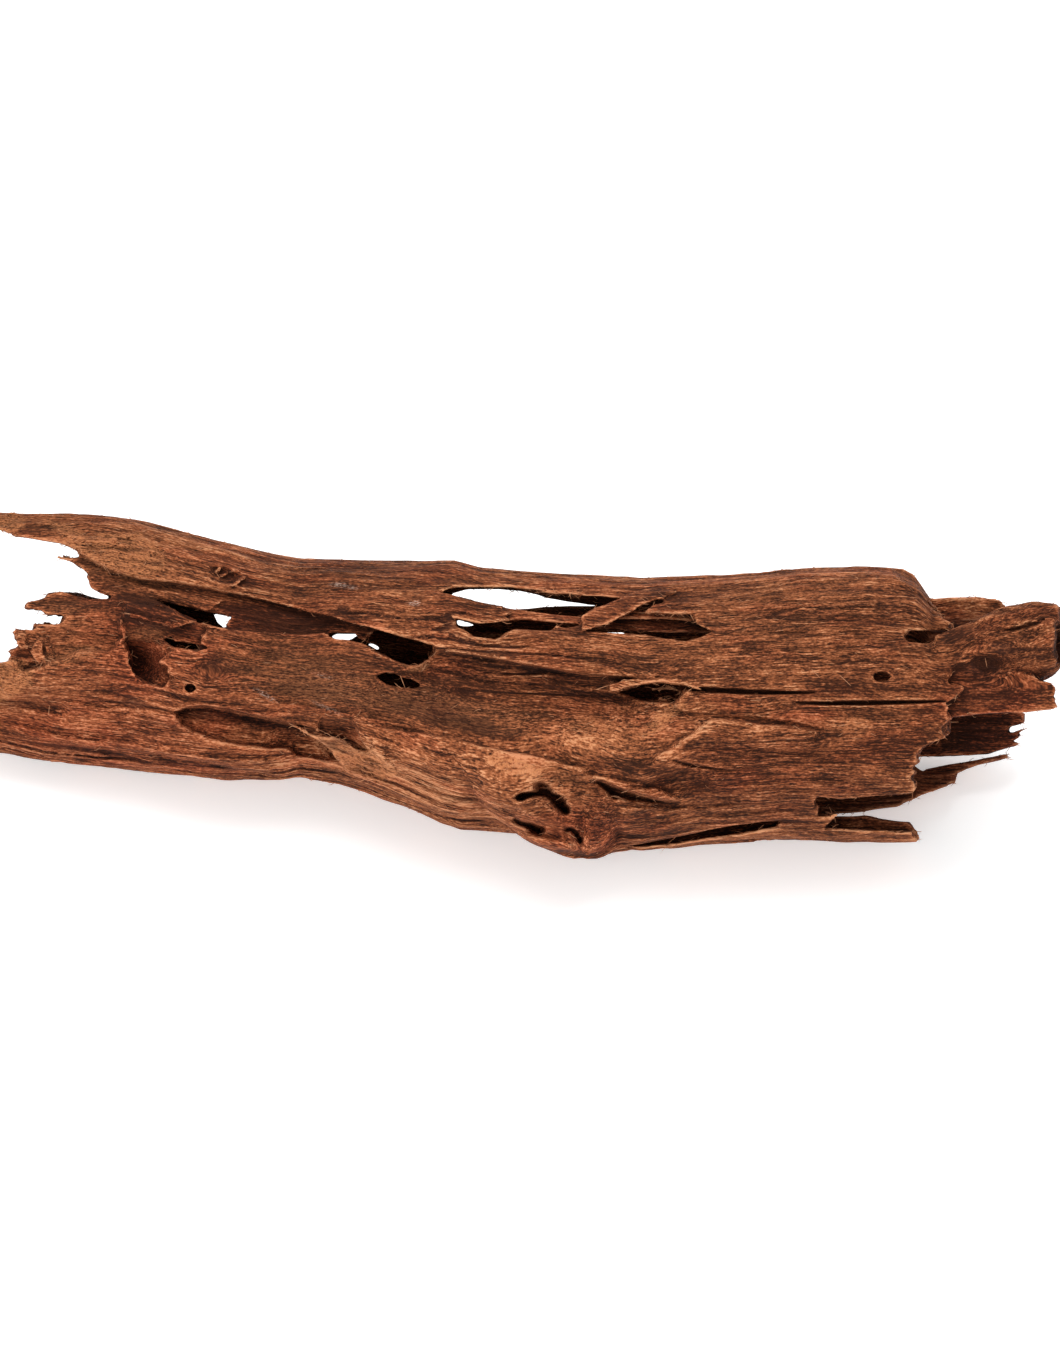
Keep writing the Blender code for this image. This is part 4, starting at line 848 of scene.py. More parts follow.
def build_field():
    """Signed distance of the wood on the grid, and which piece each grid point belongs to."""
    field, spots = plain_field()
    ix, rest = np.divmod(spots, NY * NW)
    iy, iw = np.divmod(rest, NW)
    x, y, w = XS[ix], YS[iy], WS[iw]
    theta, plain, u = round_place(x, y, w)
    skin = plain - look_up(RELIEF, x, theta)
    a, b, c = grain_space(x, y, w, skin)
    height, _ = grain_relief(a, b, c)
    front = step(0.0, 0.15, u)
    fuzz = TORN[ix, iy] * front * (
        noise(x / 7.0, y / 3.0, w / 1.7, 19) + 0.7 * noise(x / 14.0, y / 8.0, w / 3.0, 20)
    )
    outer = skin - height + RECESS[ix, iy] * front - 0.9 * fuzz
    rot = 1.3 * noise(a / 40.0, b / 5.0, c / 5.0, 6) + 0.8 * noise(a / 18.0, b / 2.0, c / 2.0, 7)
    inner = rot - plain - look_up(THICKNESS, x, theta) + np.minimum(look_up(RELIEF, x, theta), 0.0)
    wood = smooth_max(outer, inner, 1.0)

    jag_x = 2.6 * noise(a / 30.0, b / 1.8, c / 1.8, 8) + 2.4 * noise(a / 60.0, b / 4.5, c / 4.5, 9)
    behind = step(0.1, -0.3, u)
    jag_x *= 1.0 - behind * (0.6 - 1.1 * step(-0.3, 0.6, noise(a / 50.0, b / 8.0, c / 8.0, 27)))
    jag_x += 4.0 * behind * noise(a / 70.0, b / 11.0, c / 11.0, 28)
    jag_y = 0.7 * noise(a / 6.0, b / 3.0, c / 3.0, 10)

    def torn(outlines, share):
        """Distance to the nearest outline, whose edge is broken along the grain."""
        distance = union_distance(outlines)
        slope_x, slope_y = (
            slope.astype(np.float32)[ix, iy]
            for slope in np.gradient(distance, STEP_X * PIXEL, STEP_Y * PIXEL)
        )
        return distance[ix, iy] + share * (slope_x * jag_x + slope_y * jag_y)

    # Holes of the front wall, the broken plate and the torn ends
    middle_depth = np.interp(x, XS, DEPTH).astype(np.float32)
    cuts = np.minimum(
        torn((BITE, CLEFT, WINDOW, PLATE_SLOT, LOWER_SPLIT), 0.5), torn((PLATE_END,), 0.7)
    )
    holes = union_distance([ellipse(*hole) for hole in BORE_HOLES] + [EYE_HOLE])
    cuts = np.minimum(cuts, holes[ix, iy])
    wood = cut(wood, cuts, middle_depth - w)
    offset = w - SKINS[ix, iy]
    for number, (outline, face, thickness) in enumerate(INNER_LAYERS):
        inward = offset + face + thickness / 2.0
        if number == BOWL_LAYER:
            far = np.hypot(x - BOWL[0], y - BOWL[1]) / BOWL[2]
            inward = inward + BOWL[3] * np.exp(-far * far)
        inward = inward + 0.9 * noise(a / 30.0, b / 5.0, c / 5.0, 17)
        layer = plate(torn((outline,), 0.5), inward, -thickness / 2.0, thickness / 2.0)
        layer = layer - 0.5 * noise(a / 16.0, b / 1.7, c / 1.7, 18)
        wood = -smooth_max(-wood, -layer, 1.0)
    wood = cut(wood, union_distance((SLIT,))[ix, iy], SKINS[ix, iy] - 16.0 - w)
    wood = cut(wood, torn(BACK_HOLES, 0.2), offset + 6.0)
    wood = cut(wood, torn((STRIP_BACK,), 0.2), w - middle_depth + 9.0)
    wood = cut(wood, torn((RIGHT_END,), 0.5))
    left = x < LEFT_END_REACH
    wood[left] = cut(wood[left], left_end_distance(x[left], w[left], iy[left], jag_x[left]))

    # Splinters and the slab at the right end
    rough = 0.5 * noise(a / 14.0, b / 1.4, c / 1.4, 12)
    for outline, below, above in SPLINTERS:
        distance = union_distance((outline,))[ix, iy] + 0.25 * jag_y
        splinter = plate(distance, offset, -below, above) + rough
        wood = np.minimum(wood, splinter.astype(np.float32))
    capped = np.minimum(ix, int((SLAB_SKIN_X - XS[0]) / STEP_X))
    deep, shallow = SLAB_DEPTH
    slab = plate(torn((SLAB,), 0.4), w - SKINS[capped, iy], -deep, -shallow)
    slab = slab + 0.4 * noise(a / 24.0, b / 1.8, c / 1.8, 13)
    wood = np.minimum(wood, slab.astype(np.float32))

    stub = stub_distance(x, y, w, ix, iy)
    is_stub = (stub < wood) & (x > STUB_X)
    wood = -smooth_max(-wood, -stub.astype(np.float32), 3.5)

    up = (LEVEL_Y - y) * PIXEL
    floor = -(up * math.cos(VIEW_TILT) + w * math.sin(VIEW_TILT))
    field.reshape(-1)[spots] = np.maximum(wood, floor.astype(np.float32))

    labels = np.empty((NX, NY, NW), np.int8)
    is_left = (XS < FORK_X)[:, None, None]
    upper = (PICTURE_Y < read_line(LIMB_SEAM, XS)[:, None])[:, :, None]
    parts = sum((XS > line).astype(np.int8) for line in (LIMB_PART, FORK_X, *TRUNK_PARTS)) + 1
    labels[:] = np.where(is_left & upper, 0, parts[:, None, None])
    labels.reshape(-1)[spots[is_stub]] = len(PIECES) - 1
    return field, labels


SX, SY = NY * NW, NW
# Cells round an edge of the grid, in turn, for edges along x, y and w
AROUND = ((-SY - 1, -1, 0, -SY), (-1 - SX, -SX, 0, -1), (-SX - SY, -SY, 0, -SX))


def crossings(mask, axis):
    """Grid points whose next neighbour along the axis is on the other side of the surface."""
    here = [slice(None)] * 3
    there = [slice(None)] * 3
    here[axis], there[axis] = slice(None, -1), slice(1, None)
    i, j, k = np.nonzero(mask[tuple(here)] != mask[tuple(there)])
    return i * SX + j * SY + k


def settle_corners(field):
    """Fills grid points where wood would meet only along an edge of the grid."""
    for _ in range(6):
        solid, changed = field < 0.0, 0
        for axes in ((0, 1), (0, 2), (1, 2)):
            def side(da, db):
                cut = [slice(None)] * 3
                cut[axes[0]] = slice(1, None) if da else slice(None, -1)
                cut[axes[1]] = slice(1, None) if db else slice(None, -1)
                return tuple(cut)
            a, b, c, d = (solid[side(*s)] for s in ((0, 0), (1, 1), (0, 1), (1, 0)))
            first, second = a & b & ~c & ~d, c & d & ~a & ~b
            changed += int(first.sum()) + int(second.sum())
            field[side(0, 1)][first] = -0.02
            field[side(0, 0)][second] = -0.02
        if not changed:
            break


def components(quads, count):
    """Number of the connected part that each vertex belongs to."""
    mark = np.arange(count)
    while True:
        low = mark[quads].min(axis=1)
        fresh = mark.copy()
        for corner in range(4):
            np.minimum.at(fresh, quads[:, corner], low)
        while True:
            jumped = fresh[fresh]
            if np.array_equal(jumped, fresh):
                break
            fresh = jumped
        if np.array_equal(fresh, mark):
            return mark
        mark = fresh


def quads_of(mask):
    """Faces of the surface of a mask, as four cells each, all turned the same way."""
    flat, found = mask.reshape(-1), []
    for axis, around in enumerate(AROUND):
        edges = crossings(mask, axis)
        cells = edges[:, None] + np.array(around)[None, :]
        leaving = flat[edges]
        cells[~leaving] = cells[~leaving][:, ::-1]
        found.append(cells)
    return np.concatenate(found)


def cell_places(field):
    """Place of the surface in each cell that it passes through, in grid steps."""
    values, solid = field.reshape(-1), field < 0.0
    cells, points = [], []
    for axis, around in enumerate(AROUND):
        edges = crossings(solid, axis)
        first, second = values[edges], values[edges + (SX, SY, 1)[axis]]
        place = np.stack([edges // SX, edges % SX // SY, edges % SY], axis=1).astype(float)
        place[:, axis] += first / (first - second)
        for shift in around:
            cells.append(edges + shift)
            points.append(place)
    cells, points = np.concatenate(cells), np.concatenate(points)
    found, where = np.unique(cells, return_inverse=True)
    count = np.bincount(where)
    return found, np.stack([np.bincount(where, points[:, i]) / count for i in range(3)], axis=1)


def sample(values, places):
    """Values of a grid at places given in grid steps, straight between its points."""
    low = np.clip(np.floor(places).astype(int), 0, np.array(values.shape) - 2)
    part = (places - low).astype(np.float32)
    total = 0.0
    for da in (0, 1):
        for db in (0, 1):
            for dc in (0, 1):
                weight = (
                    (part[:, 0] if da else 1 - part[:, 0])
                    * (part[:, 1] if db else 1 - part[:, 1])
                    * (part[:, 2] if dc else 1 - part[:, 2])
                )
                total = total + weight * values[low[:, 0] + da, low[:, 1] + db, low[:, 2] + dc]
    return total


def to_world(x, y, w):
    """Places of the part's frame, in metres, for picture places."""
    along, up = (x - MIDDLE_X) * PIXEL, (LEVEL_Y - y) * PIXEL
    sine, cosine = math.sin(VIEW_TILT), math.cos(VIEW_TILT)
    out = np.stack([along, up * sine - w * cosine + FRAME_SHIFT_Y, up * cosine + w * sine], axis=1)
    return out / 1000.0


def box_blur(values, reach):
    """Mean over a box of the grid, reach steps either way along each axis."""
    for axis, steps in enumerate(reach):
        padding = [(0, 0)] * 3
        padding[axis] = (steps + 1, steps)
        sums = np.cumsum(np.pad(values, padding, mode="edge"), axis=axis, dtype=np.float32)
        high, low = [slice(None)] * 3, [slice(None)] * 3
        high[axis], low[axis] = slice(2 * steps + 1, None), slice(None, -2 * steps - 1)
        values = (sums[tuple(high)] - sums[tuple(low)]) / (2 * steps + 1)
    return values


PIECES = (
    ("upper_limb_wood", "upper_limb", "limb_wood"),
    ("lower_limb_wood_left", "lower_limb", "limb_wood"),
    ("lower_limb_wood_right", "lower_limb", "limb_wood"),
    ("trunk_wood_left", "trunk", "trunk_wood"), ("trunk_wood_middle", "trunk", "trunk_wood"),
    ("trunk_wood_right", "trunk", "trunk_wood"), ("end_stub_wood", "end_stub", "stub_wood"),
)


def make_wood():
    """Meshes the wood once and parts it into its pieces, then adds the loose fibres."""
    materials = {slot: wood_material(slot) for slot in ("limb_wood", "trunk_wood", "stub_wood")}
    field, labels = build_field()
    settle_corners(field)
    solid = field < 0.0
    found, places = cell_places(field)
    whole = np.searchsorted(found, quads_of(solid))
    mark = components(whole, len(found))
    sizes = np.bincount(mark)
    crumbs = found[sizes[mark] < sizes.max()]
    near = box_blur(solid.astype(np.float32), NEAR_REACH)
    objects = []
    for label, (name, node, slot) in enumerate(PIECES):
        cells = quads_of(solid & (labels == label))
        cells = cells[~np.isin(cells, crumbs).any(axis=1)]
        used, faces = np.unique(cells, return_inverse=True)
        faces = faces.reshape(-1, 4)
        mark = components(faces, len(used))
        sizes = np.bincount(mark)
        keep = sizes[mark[faces[:, 0]]] > LEAST_VERTICES
        used, faces = used[np.unique(faces[keep])], np.unique(faces[keep], return_inverse=True)[1]
        faces = faces.reshape(-1, 4)
        spot = np.searchsorted(found, used)
        spot_safe = np.minimum(spot, len(found) - 1)
        real = found[spot_safe] == used
        centre = np.stack([used // SX, used % SX // SY, used % SY], axis=1) + 0.5
        place = np.where(real[:, None], places[spot_safe], centre)
        objects.append(mesh_piece(name, place, faces, field, near, materials[slot]))
        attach(objects[-1], "root")
        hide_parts(node)
    loose = fibre_material()
    rng = np.random.default_rng(5)
    for piece, (_, _, slot) in zip(objects, PIECES):
        grow_fibres(piece, loose, rng)
    make_threads(loose)


# Fibres that have come loose: one for so many vertices, length and radius in millimetres
VERTICES_PER_FIBRE = 200
FIBRE_LENGTH = (1.4, 4.6)
FIBRE_RADIUS = (0.08, 0.15)
FIBRE_ROOT = 0.4
# How far they stand up, sway to the side and bend: shares of their way along, and millimetres
FIBRE_LIFT = (0.1, 0.8)
FIBRE_SWAY = 0.35
FIBRE_BEND = 0.3
# Places with more of them: (x, y, half width, half height, turn, amount)
FRINGES = (
    (670, 612, 28, 5, 2, 5.0), (562, 593, 26, 5, 3, 5.0), (105, 550, 60, 18, 24, 2.0),
    (346, 752, 36, 14, 40, 3.0), (660, 712, 22, 12, -40, 4.0), (850, 728, 26, 8, 0, 3.0),
    (415, 664, 16, 8, 10, 3.0), (20, 672, 34, 20, 0, 2.0), (300, 757, 50, 5, 4, 2.0),
    (530, 764, 40, 10, 14, 1.0), (200, 648, 18, 5, 0, 2.0), (640, 800, 40, 8, 6, 1.5),
)
# Threads across gaps and off the end: first place, last place, rise in the middle in millimetres
THREADS = (
    ((401, 675), (406.5, 689), 0.4), ((10, 533), (-4, 530), 1.5), ((12, 536), (-6, 534), 1.0),
    ((568, 590), (571, 600), 0.6), ((573, 591), (568, 598), 0.8), ((553, 589), (556, 595), 0.8),
    ((806, 667), (818, 679), 1.2), ((835, 674), (852, 690), 1.0), ((737, 701), (775, 699), 0.8),
    ((981, 657), (983, 668), 0.8), ((150, 560), (166, 566), 0.8), ((48, 705), (46, 722), 0.8),
    ((655, 612), (664, 617), 0.8), ((676, 612), (668, 619), 0.8), ((688, 613), (693, 622), 0.8),
    ((620, 792), (632, 788), 0.6), ((594, 690), (612, 684), 0.6),
)
# Radius, shade, and how deep the ends of the threads are in the skin
THREAD_RADIUS, THREAD_SHADE, THREAD_ROOT = 0.13, 0.8, 0.8
# Share of a fibre's length and of its radius at each ring between its two tips
FIBRE_RINGS = ((0.12, 0.9), (0.5, 1.0), (0.85, 0.55))


def unit(vectors):
    return vectors / np.maximum(np.linalg.norm(vectors, axis=1, keepdims=True), 1e-9)


def put(mesh, key, values, kind="FLOAT", field="value"):
    """Gives each vertex a value, or a vector, that materials read."""
    layer = mesh.attributes.new(key, kind, "POINT")
    layer.data.foreach_set(field, np.asarray(values, np.float32).ravel())


def read_data(items, field, width=1):
    values = np.empty(width * len(items), np.float32)
    items.foreach_get(field, values)
    return values


def add_object(name, mesh, material):
    mesh.materials.append(material)
    piece = bpy.data.objects.new(name, mesh)
    bpy.context.scene.collection.objects.link(piece)
    return piece


def fibre_piece(name, material, start, heading, bend, radius, shade):
    """One mesh of closed spindles, four sides round, each from a start along a heading."""
    count = len(start)
    across = unit(np.cross(heading, (0.3, 0.5, 0.8)))
    other = unit(np.cross(heading, across))
    points = [start]
    for share, size in FIBRE_RINGS:
        centre = start + heading * share + bend * (4.0 * share * (1.0 - share))
        for cosine, sine in ((1, 0), (0, 1), (-1, 0), (0, -1)):
            points.append(centre + (across * cosine + other * sine) * radius[:, None] * size)
    points.append(start + heading)
    each = len(points)
    rings = len(FIBRE_RINGS)
    faces = []
    for side in range(4):
        nearby = (side + 1) % 4
        faces.append((0, 1 + nearby, 1 + side, 1 + side))
        faces.extend(
            (1 + 4 * r + side, 1 + 4 * r + nearby, 5 + 4 * r + nearby, 5 + 4 * r + side)
            for r in range(rings - 1)
        )
        last = 1 + 4 * (rings - 1)
        faces.append((last + side, last + nearby, each - 1, each - 1))
    points = np.stack(points, axis=1).reshape(-1, 3)
    faces = (np.array(faces)[None, :, :] + each * np.arange(count)[:, None, None]).reshape(-1, 4)
    polygons = [f[:3] if f[2] == f[3] else f for f in faces.tolist()]
    mesh = bpy.data.meshes.new(name)
    mesh.from_pydata(points.tolist(), [], polygons)
    mesh.shade_smooth()
    put(mesh, "shade", np.repeat(shade, each))
    piece = add_object(name, mesh, material)
    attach(piece, "root")
    return piece


def grow_fibres(piece, material, rng):
    """Loose fibres on the edges and torn places of one piece of wood."""
    mesh = piece.data
    count = len(mesh.vertices)
    points = read_data(mesh.vertices, "co", 3).reshape(-1, 3).astype(float)
    normals = read_data(mesh.vertex_normals, "vector", 3).reshape(-1, 3).astype(float)
    crevice, torn, fringe = (
        read_data(mesh.attributes[key].data, "value") for key in ("crevice", "torn", "fringe")
    )
    fibres = count // VERTICES_PER_FIBRE
    weight = 0.03 + step(0.40, 0.28, crevice) * (1.0 + fringe) + 0.9 * torn + 0.25 * fringe
    weight *= points[:, 2] > FIBRE_LENGTH[1] / 1000.0
    picks = rng.choice(count, size=fibres, replace=False, p=weight / weight.sum())
    root, out = points[picks], normals[picks]
    along = unit(np.array([1.0, 0.0, 0.0]) - out * out[:, :1])
    side = np.cross(out, along)
    ways = rng.choice((-1.0, 1.0), fibres)[:, None]
    lift = rng.uniform(*FIBRE_LIFT, fibres)[:, None]
    sway = rng.normal(0.0, FIBRE_SWAY, fibres)[:, None]
    heading = unit(along * ways + out * lift + side * sway)
    heading *= rng.uniform(*FIBRE_LENGTH, fibres)[:, None] / 1000.0
    bend = out * rng.normal(0.0, FIBRE_BEND / 1000.0, fibres)[:, None]
    bend = bend + side * rng.normal(0.0, FIBRE_BEND / 1000.0, fibres)[:, None]
    start = root - out * FIBRE_ROOT / 1000.0
    radius = rng.uniform(*FIBRE_RADIUS, fibres) / 1000.0
    shade = rng.uniform(0.0, 1.0, fibres)
    name = piece.name.replace("_wood", "_fibres")
    return fibre_piece(name, material, start, heading, bend, radius, shade)


def make_threads(material):
    """The few single threads that the picture shows."""
    ends = []
    for places in ([t[0] for t in THREADS], [t[1] for t in THREADS]):
        x, y = np.array(places, float).T
        low_x = np.clip(((x - XS[0]) / STEP_X).astype(int), 0, NX - 1)
        low_y = np.clip(((y - YS[0]) / STEP_Y).astype(int), 0, NY - 1)
        ends.append(to_world(x, y, SKINS[low_x, low_y] - THREAD_ROOT))
    bend = np.array([[0.0, -0.7, 0.7]]) * np.array([[t[2] / 1000.0] for t in THREADS])
    radius = np.full(len(THREADS), THREAD_RADIUS / 1000.0)
    shade = np.full(len(THREADS), THREAD_SHADE)
    start, heading = ends[0], ends[1] - ends[0]
    fibre_piece("loose_threads", material, start, heading, bend, radius, shade)


def sample_map(values, place):
    """Values of a picture map at places given in grid steps."""
    low = np.clip(np.floor(place[:, :2]).astype(int), 0, np.array(values.shape) - 2)
    a, b = (place[:, :2] - low).T
    i, j = low.T
    near_side = values[i, j] * (1 - b) + values[i, j + 1] * b
    return near_side * (1 - a) + (values[i + 1, j] * (1 - b) + values[i + 1, j + 1] * b) * a


def mesh_piece(name, place, faces, field, near, material):
    """Mesh of one piece, with its normals and the values its material reads."""
    x = XS[0] + place[:, 0] * STEP_X
    y = YS[0] + place[:, 1] * STEP_Y
    w = WS[0] + place[:, 2] * STEP_W
    points = to_world(x, y, w)
    slopes = []
    for axis, size in enumerate((STEP_X * PIXEL, STEP_Y * PIXEL, STEP_W)):
        shift = np.zeros(3)
        shift[axis] = 0.7
        slopes.append((sample(field, place + shift) - sample(field, place - shift)) / size)
    gx, gy, gw = slopes
    sine, cosine = math.sin(VIEW_TILT), math.cos(VIEW_TILT)
    normals = unit(np.stack([gx, -gy * sine - gw * cosine, -gy * cosine + gw * sine], axis=1))
    # All faces are turned the same way, which has to be outwards
    corners = points[faces]
    volume = np.einsum("ij,ij->i", corners[:, 0], np.cross(corners[:, 1], corners[:, 2])).sum()
    volume += np.einsum("ij,ij->i", corners[:, 0], np.cross(corners[:, 2], corners[:, 3])).sum()
    if volume < 0.0:
        faces = faces[:, ::-1]
    mesh = bpy.data.meshes.new(name)
    mesh.vertices.add(len(points))
    mesh.vertices.foreach_set("co", points.astype(np.float32).ravel())
    mesh.loops.add(4 * len(faces))
    mesh.loops.foreach_set("vertex_index", faces.astype(np.int32).ravel())
    mesh.polygons.add(len(faces))
    mesh.polygons.foreach_set("loop_start", np.arange(0, 4 * len(faces), 4, dtype=np.int32))
    mesh.update(calc_edges=True)
    mesh.shade_smooth()
    mesh.normals_split_custom_set_from_vertices(normals.astype(np.float32))

    xf, yf, wf = x.astype(np.float32), y.astype(np.float32), w.astype(np.float32)
    theta, plain, u = round_place(xf, yf, wf)
    front = step(0.0, 0.15, u)
    skin = plain - look_up(RELIEF, xf, theta)
    # Painted shade: darker where wood stands above a place and out in front of it, as under lips
    painted_lip_shade = 0.0
    for up, out in PAINTED_SHADE_REACH:
        painted_lip_shade = painted_lip_shade + 0.5 * sample(near, place + (0.0, -up / STEP_Y, out / STEP_W))
    slant = np.abs(gw) / np.maximum(np.sqrt(gx * gx + gy * gy + gw * gw), 1e-6)
    a, b, c = grain_space(xf, yf, wf, skin)
    height, cracks = grain_relief(a, b, c)
    # The stub is painted all the way round
    shown = np.where(x > STUB_PAINT_X, 1.0, front)
    values = {
        "crevice": sample(near, place),
        "painted_lip_shade": painted_lip_shade * step(0.45, 0.85, slant) * np.maximum(front, step(-3.0, -6.0, skin)),
        "under_skin": -skin - sample_map(RECESS, place) * front,
        "ridge": height,
        "crack": cracks,
        "tone_and_shade": painted(TONES_AND_SHADE, x, y) * shown,
        "torn": sample_map(TORN, place) * front * step(-9.0, -6.0, skin),
        "fringe": painted(FRINGES, x, y) * front,
        "pale": painted(PALE_SPOTS, x, y) * front,
        "red": painted(RED_PLACES, x, y) * shown,
    }
    for key, value in values.items():
        put(mesh, key, value)
    put(mesh, "grain", np.stack([a, b, c], axis=1), "FLOAT_VECTOR", "vector")
    return add_object(name, mesh, material)


def new_material(name):
    material = bpy.data.materials.new(name)
    material.use_nodes = True
    return material, material.node_tree, material.node_tree.nodes["Principled BSDF"]


def wood_material(name):
    """Weathered wood: streaks and fibres along the grain, torn pale places, a dark heart."""
    material, tree, shader = new_material(name)

    def plug(socket, value):
        if isinstance(value, bpy.types.NodeSocket):
            tree.links.new(value, socket)
        else:
            socket.default_value = value

    def add(kind, inputs=(), **settings):
        node = tree.nodes.new(kind)
        for key, value in settings.items():
            setattr(node, key, value)
        for key, value in dict(inputs).items():
            plug(node.inputs[key], value)
        return node

    def value_of(key):
        return add("ShaderNodeAttribute", attribute_name=key).outputs["Fac"]

    def calc(operation, first, second=0.0, clamp=False):
        node = add("ShaderNodeMath", operation=operation, use_clamp=clamp)
        plug(node.inputs[0], first)
        plug(node.inputs[1], second)
        return node.outputs[0]

    def around(value):
        return calc("SUBTRACT", value, 0.5)

    def add_up(total, *terms):
        """Adds values to a total, each with its factor."""
        for value, factor in terms:
            total = calc("ADD", total, calc("MULTIPLY", value, factor))
        return total

    def spread(value, low, high, out_low=0.0, out_high=1.0):
        """Smooth change from out_low to out_high while the value goes from low to high."""
        inputs = {
            "Value": value, "From Min": low, "From Max": high,
            "To Min": out_low, "To Max": out_high,
        }
        node = add("ShaderNodeMapRange", inputs, interpolation_type="SMOOTHSTEP")
        return node.outputs["Result"]

    def mix(factor, first, second, blend):
        node = add("ShaderNodeMix", data_type="RGBA", blend_type=blend)
        for number, value in ((0, factor), (6, first), (7, second)):
            plug(node.inputs[number], value)
        return node.outputs[2]

    grain = add("ShaderNodeAttribute", attribute_name="grain").outputs["Vector"]

    def fibre(along, across, detail, shift, roughness=0.6):
        place = add("ShaderNodeMapping", {
            "Vector": grain, "Scale": (1.0 / along, 1.0 / across, 1.0 / across),
            "Location": (shift, shift * 0.7, shift * 1.3),
        }).outputs["Vector"]
        return add("ShaderNodeTexNoise", {
            "Vector": place, "Scale": 1.0, "Detail": detail, "Roughness": roughness,
        }).outputs["Fac"]

    patches = fibre(20.0, 6.0, 3.0, 3.0)
    streaks = fibre(46.0, 1.0, 3.0, 9.0)
    fibres = fibre(9.0, 0.6, 2.0, 17.0)
    hairs = fibre(2.2, 0.40, 1.0, 23.0)
    specks = fibre(1.1, 0.6, 2.0, 31.0)
    checks = calc("ABSOLUTE", around(fibre(20.0, 1.1, 2.0, 41.0, 0.5)))
    checked = spread(fibre(30.0, 6.0, 1.0, 47.0), 0.48, 0.6)
    checks = calc("MULTIPLY", spread(checks, 0.035, 0.0), checked)

    torn, crevice, under = value_of("torn"), value_of("crevice"), value_of("under_skin")
    # Painted shade in grooves and creases, and a painted highlight on edges
    level = add_up(
        0.445, (around(streaks), 0.8), (around(fibres), 1.3), (around(hairs), 1.4),
        (around(patches), 0.75), (value_of("ridge"), 0.07), (around(crevice), -1.9),
        (value_of("tone_and_shade"), 1.0), (around(specks), 0.95), (spread(crevice, 0.40, 0.28), 0.12),
        (checks, -0.5),
    )
    level = calc("ADD", calc("MULTIPLY", level, 1.1), -0.063)
    ramp = add("ShaderNodeValToRGB", {"Fac": level})
    stops = ramp.color_ramp.elements
    colours = (
        (0.0, (0.034, 0.010, 0.004)), (0.22, (0.084, 0.024, 0.009)), (0.45, (0.180, 0.053, 0.019)),
        (0.68, (0.300, 0.095, 0.036)), (0.86, (0.440, 0.165, 0.070)), (1.0, (0.580, 0.260, 0.125)),
    )
    while len(stops) < len(colours):
        stops.new(0.5)
    for stop, (place, colour) in zip(stops, colours):
        stop.position, stop.color = place, (*colour, 1.0)
    strands = add_up(0.0, (hairs, 0.6), (fibres, 0.5))
    glints = calc("MULTIPLY", spread(level, 0.12, -0.2), spread(strands, 0.50, 0.68))
    red = spread(fibre(26.0, 11.0, 3.0, 57.0), 0.46, 0.66)
    red = calc("ADD", calc("MULTIPLY", red, 0.4), calc("MULTIPLY", value_of("red"), 0.75), True)
    fuzz = calc("MULTIPLY", torn, spread(add_up(strands, (specks, 0.6)), 0.66, 1.05))
    # Painted shade under lips, weaker deep inside the shell
    inside = spread(under, 7.0, 9.5, 1.0, 0.55)
    painted_shade_share = calc("MULTIPLY", calc("MULTIPLY", value_of("painted_lip_shade"), inside), 1.25, True)
    spots = calc("MULTIPLY", value_of("pale"), spread(specks, 0.42, 0.62))
    heart = calc("MULTIPLY", spread(under, 4.0, 9.0), 0.85)
    cracks = calc("MULTIPLY", value_of("crack"), 0.55)
    base = ramp.outputs["Color"]
    for share, colour, blend in (
        (glints, (0.105, 0.034, 0.014), "MIX"), (red, (0.97, 0.68, 0.66), "MULTIPLY"),
        (fuzz, (0.52, 0.195, 0.078), "MIX"), (painted_shade_share, (0.21, 0.17, 0.15), "MULTIPLY"),
        (spots, (0.48, 0.33, 0.26), "MIX"), (heart, (0.50, 0.41, 0.40), "MULTIPLY"),
        (cracks, (0.030, 0.010, 0.006), "MIX"),
    ):
        base = mix(share, base, (*colour, 1.0), blend)
    tree.links.new(base, shader.inputs["Base Color"])
    tree.links.new(spread(streaks, 0.3, 0.7, 0.95, 0.78), shader.inputs["Roughness"])
    shader.inputs["Specular IOR Level"].default_value = 0.12

    height = add_up(
        0.0, (fibres, 0.9), (hairs, 0.6), (specks, 0.3), (streaks, 0.8),
        (calc("MULTIPLY", specks, torn), 1.6), (checks, -0.9),
    )
    bump = add("ShaderNodeBump", {"Height": height, "Strength": 1.0, "Distance": 0.0007})
    tree.links.new(bump.outputs["Normal"], shader.inputs["Normal"])
    return material


def fibre_material():
    """Loose fibres, from red brown to pale straw, each of its own shade."""
    material, tree, shader = new_material("loose_fibre")
    shade = tree.nodes.new("ShaderNodeAttribute")
    shade.attribute_name = "shade"
    ramp = tree.nodes.new("ShaderNodeValToRGB")
    tree.links.new(shade.outputs["Fac"], ramp.inputs["Fac"])
    stops = ramp.color_ramp.elements
    stops[0].color, stops[1].color = (0.17, 0.052, 0.021, 1.0), (0.50, 0.23, 0.115, 1.0)
    tree.links.new(ramp.outputs["Color"], shader.inputs["Base Color"])
    shader.inputs["Roughness"].default_value = 0.8
    shader.inputs["Specular IOR Level"].default_value = 0.2
    return material


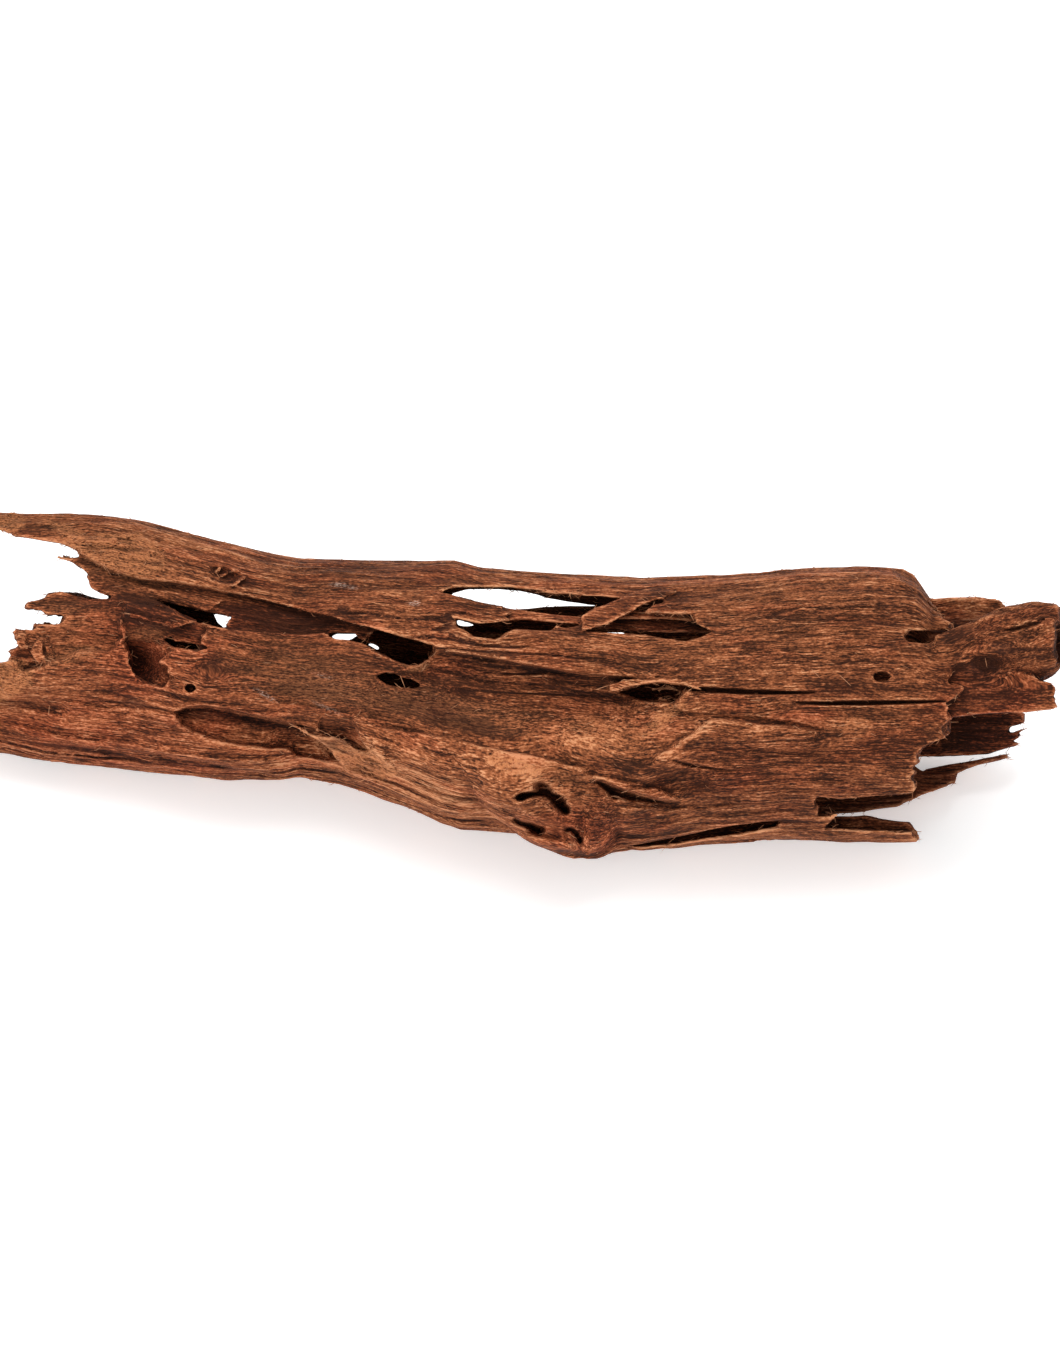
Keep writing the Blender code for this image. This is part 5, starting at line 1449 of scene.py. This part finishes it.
# Stage of the picture: half size of the floor in metres, glow of its paper, light of the air,
# lamps (name, place, size, energy), lens and sensor in millimetres
FLOOR_SIZE = 14.0
PAPER_GLOW = 0.38
AIR_LIGHT = 0.75
LAMPS = (
    ("top_light", (-0.3, 0.45, 1.8), 1.5, 26.0), ("front_light", (-0.4, -1.5, 0.75), 1.4, 14.5),
)
LENS, SENSOR = 300.0, 36.0


def make_stage():
    """Floor, light and camera of the picture, none of them a part of the model."""
    scene = bpy.context.scene
    scene.view_settings.view_transform = "Standard"
    material, _, shader = new_material("floor_paper")
    shader.inputs["Base Color"].default_value = (0.90, 0.90, 0.90, 1.0)
    shader.inputs["Emission Color"].default_value = (1.0, 1.0, 1.0, 1.0)
    shader.inputs["Emission Strength"].default_value = PAPER_GLOW
    shader.inputs["Roughness"].default_value = 0.9
    mesh = bpy.data.meshes.new("floor")
    size = FLOOR_SIZE
    corners = [(-size, -size, 0), (size, -size, 0), (size, size, 0), (-size, size, 0)]
    mesh.from_pydata(corners, [], [(0, 1, 2, 3)])
    add_object("floor", mesh, material)

    world = bpy.data.worlds.new("studio")
    scene.world = world
    world.use_nodes = True
    background = world.node_tree.nodes["Background"]
    background.inputs["Color"].default_value = (1.0, 1.0, 1.0, 1.0)
    background.inputs["Strength"].default_value = AIR_LIGHT
    for name, place, size, energy in LAMPS:
        light = bpy.data.lights.new(name, "AREA")
        light.size, light.energy = size, energy
        lamp = bpy.data.objects.new(name, light)
        lamp.location = place
        lamp.rotation_euler = (-Vector(place)).to_track_quat("-Z", "Y").to_euler()
        scene.collection.objects.link(lamp)

    camera = bpy.data.cameras.new("camera")
    camera.lens, camera.sensor_width = LENS, SENSOR
    camera.clip_start, camera.clip_end = 0.05, 60.0
    eye = bpy.data.objects.new("camera", camera)
    target = Vector(to_world(*(np.array([v]) for v in PICTURE_CENTRE))[0])
    towards = Vector((0.0, -math.cos(VIEW_TILT), math.sin(VIEW_TILT)))
    distance = PICTURE_HEIGHT * PIXEL / 1000.0 * LENS / SENSOR
    eye.location = target + towards * distance
    eye.rotation_euler = (-towards).to_track_quat("-Z", "Y").to_euler()
    scene.collection.objects.link(eye)
    scene.camera = eye


make_stage()
make_wood()
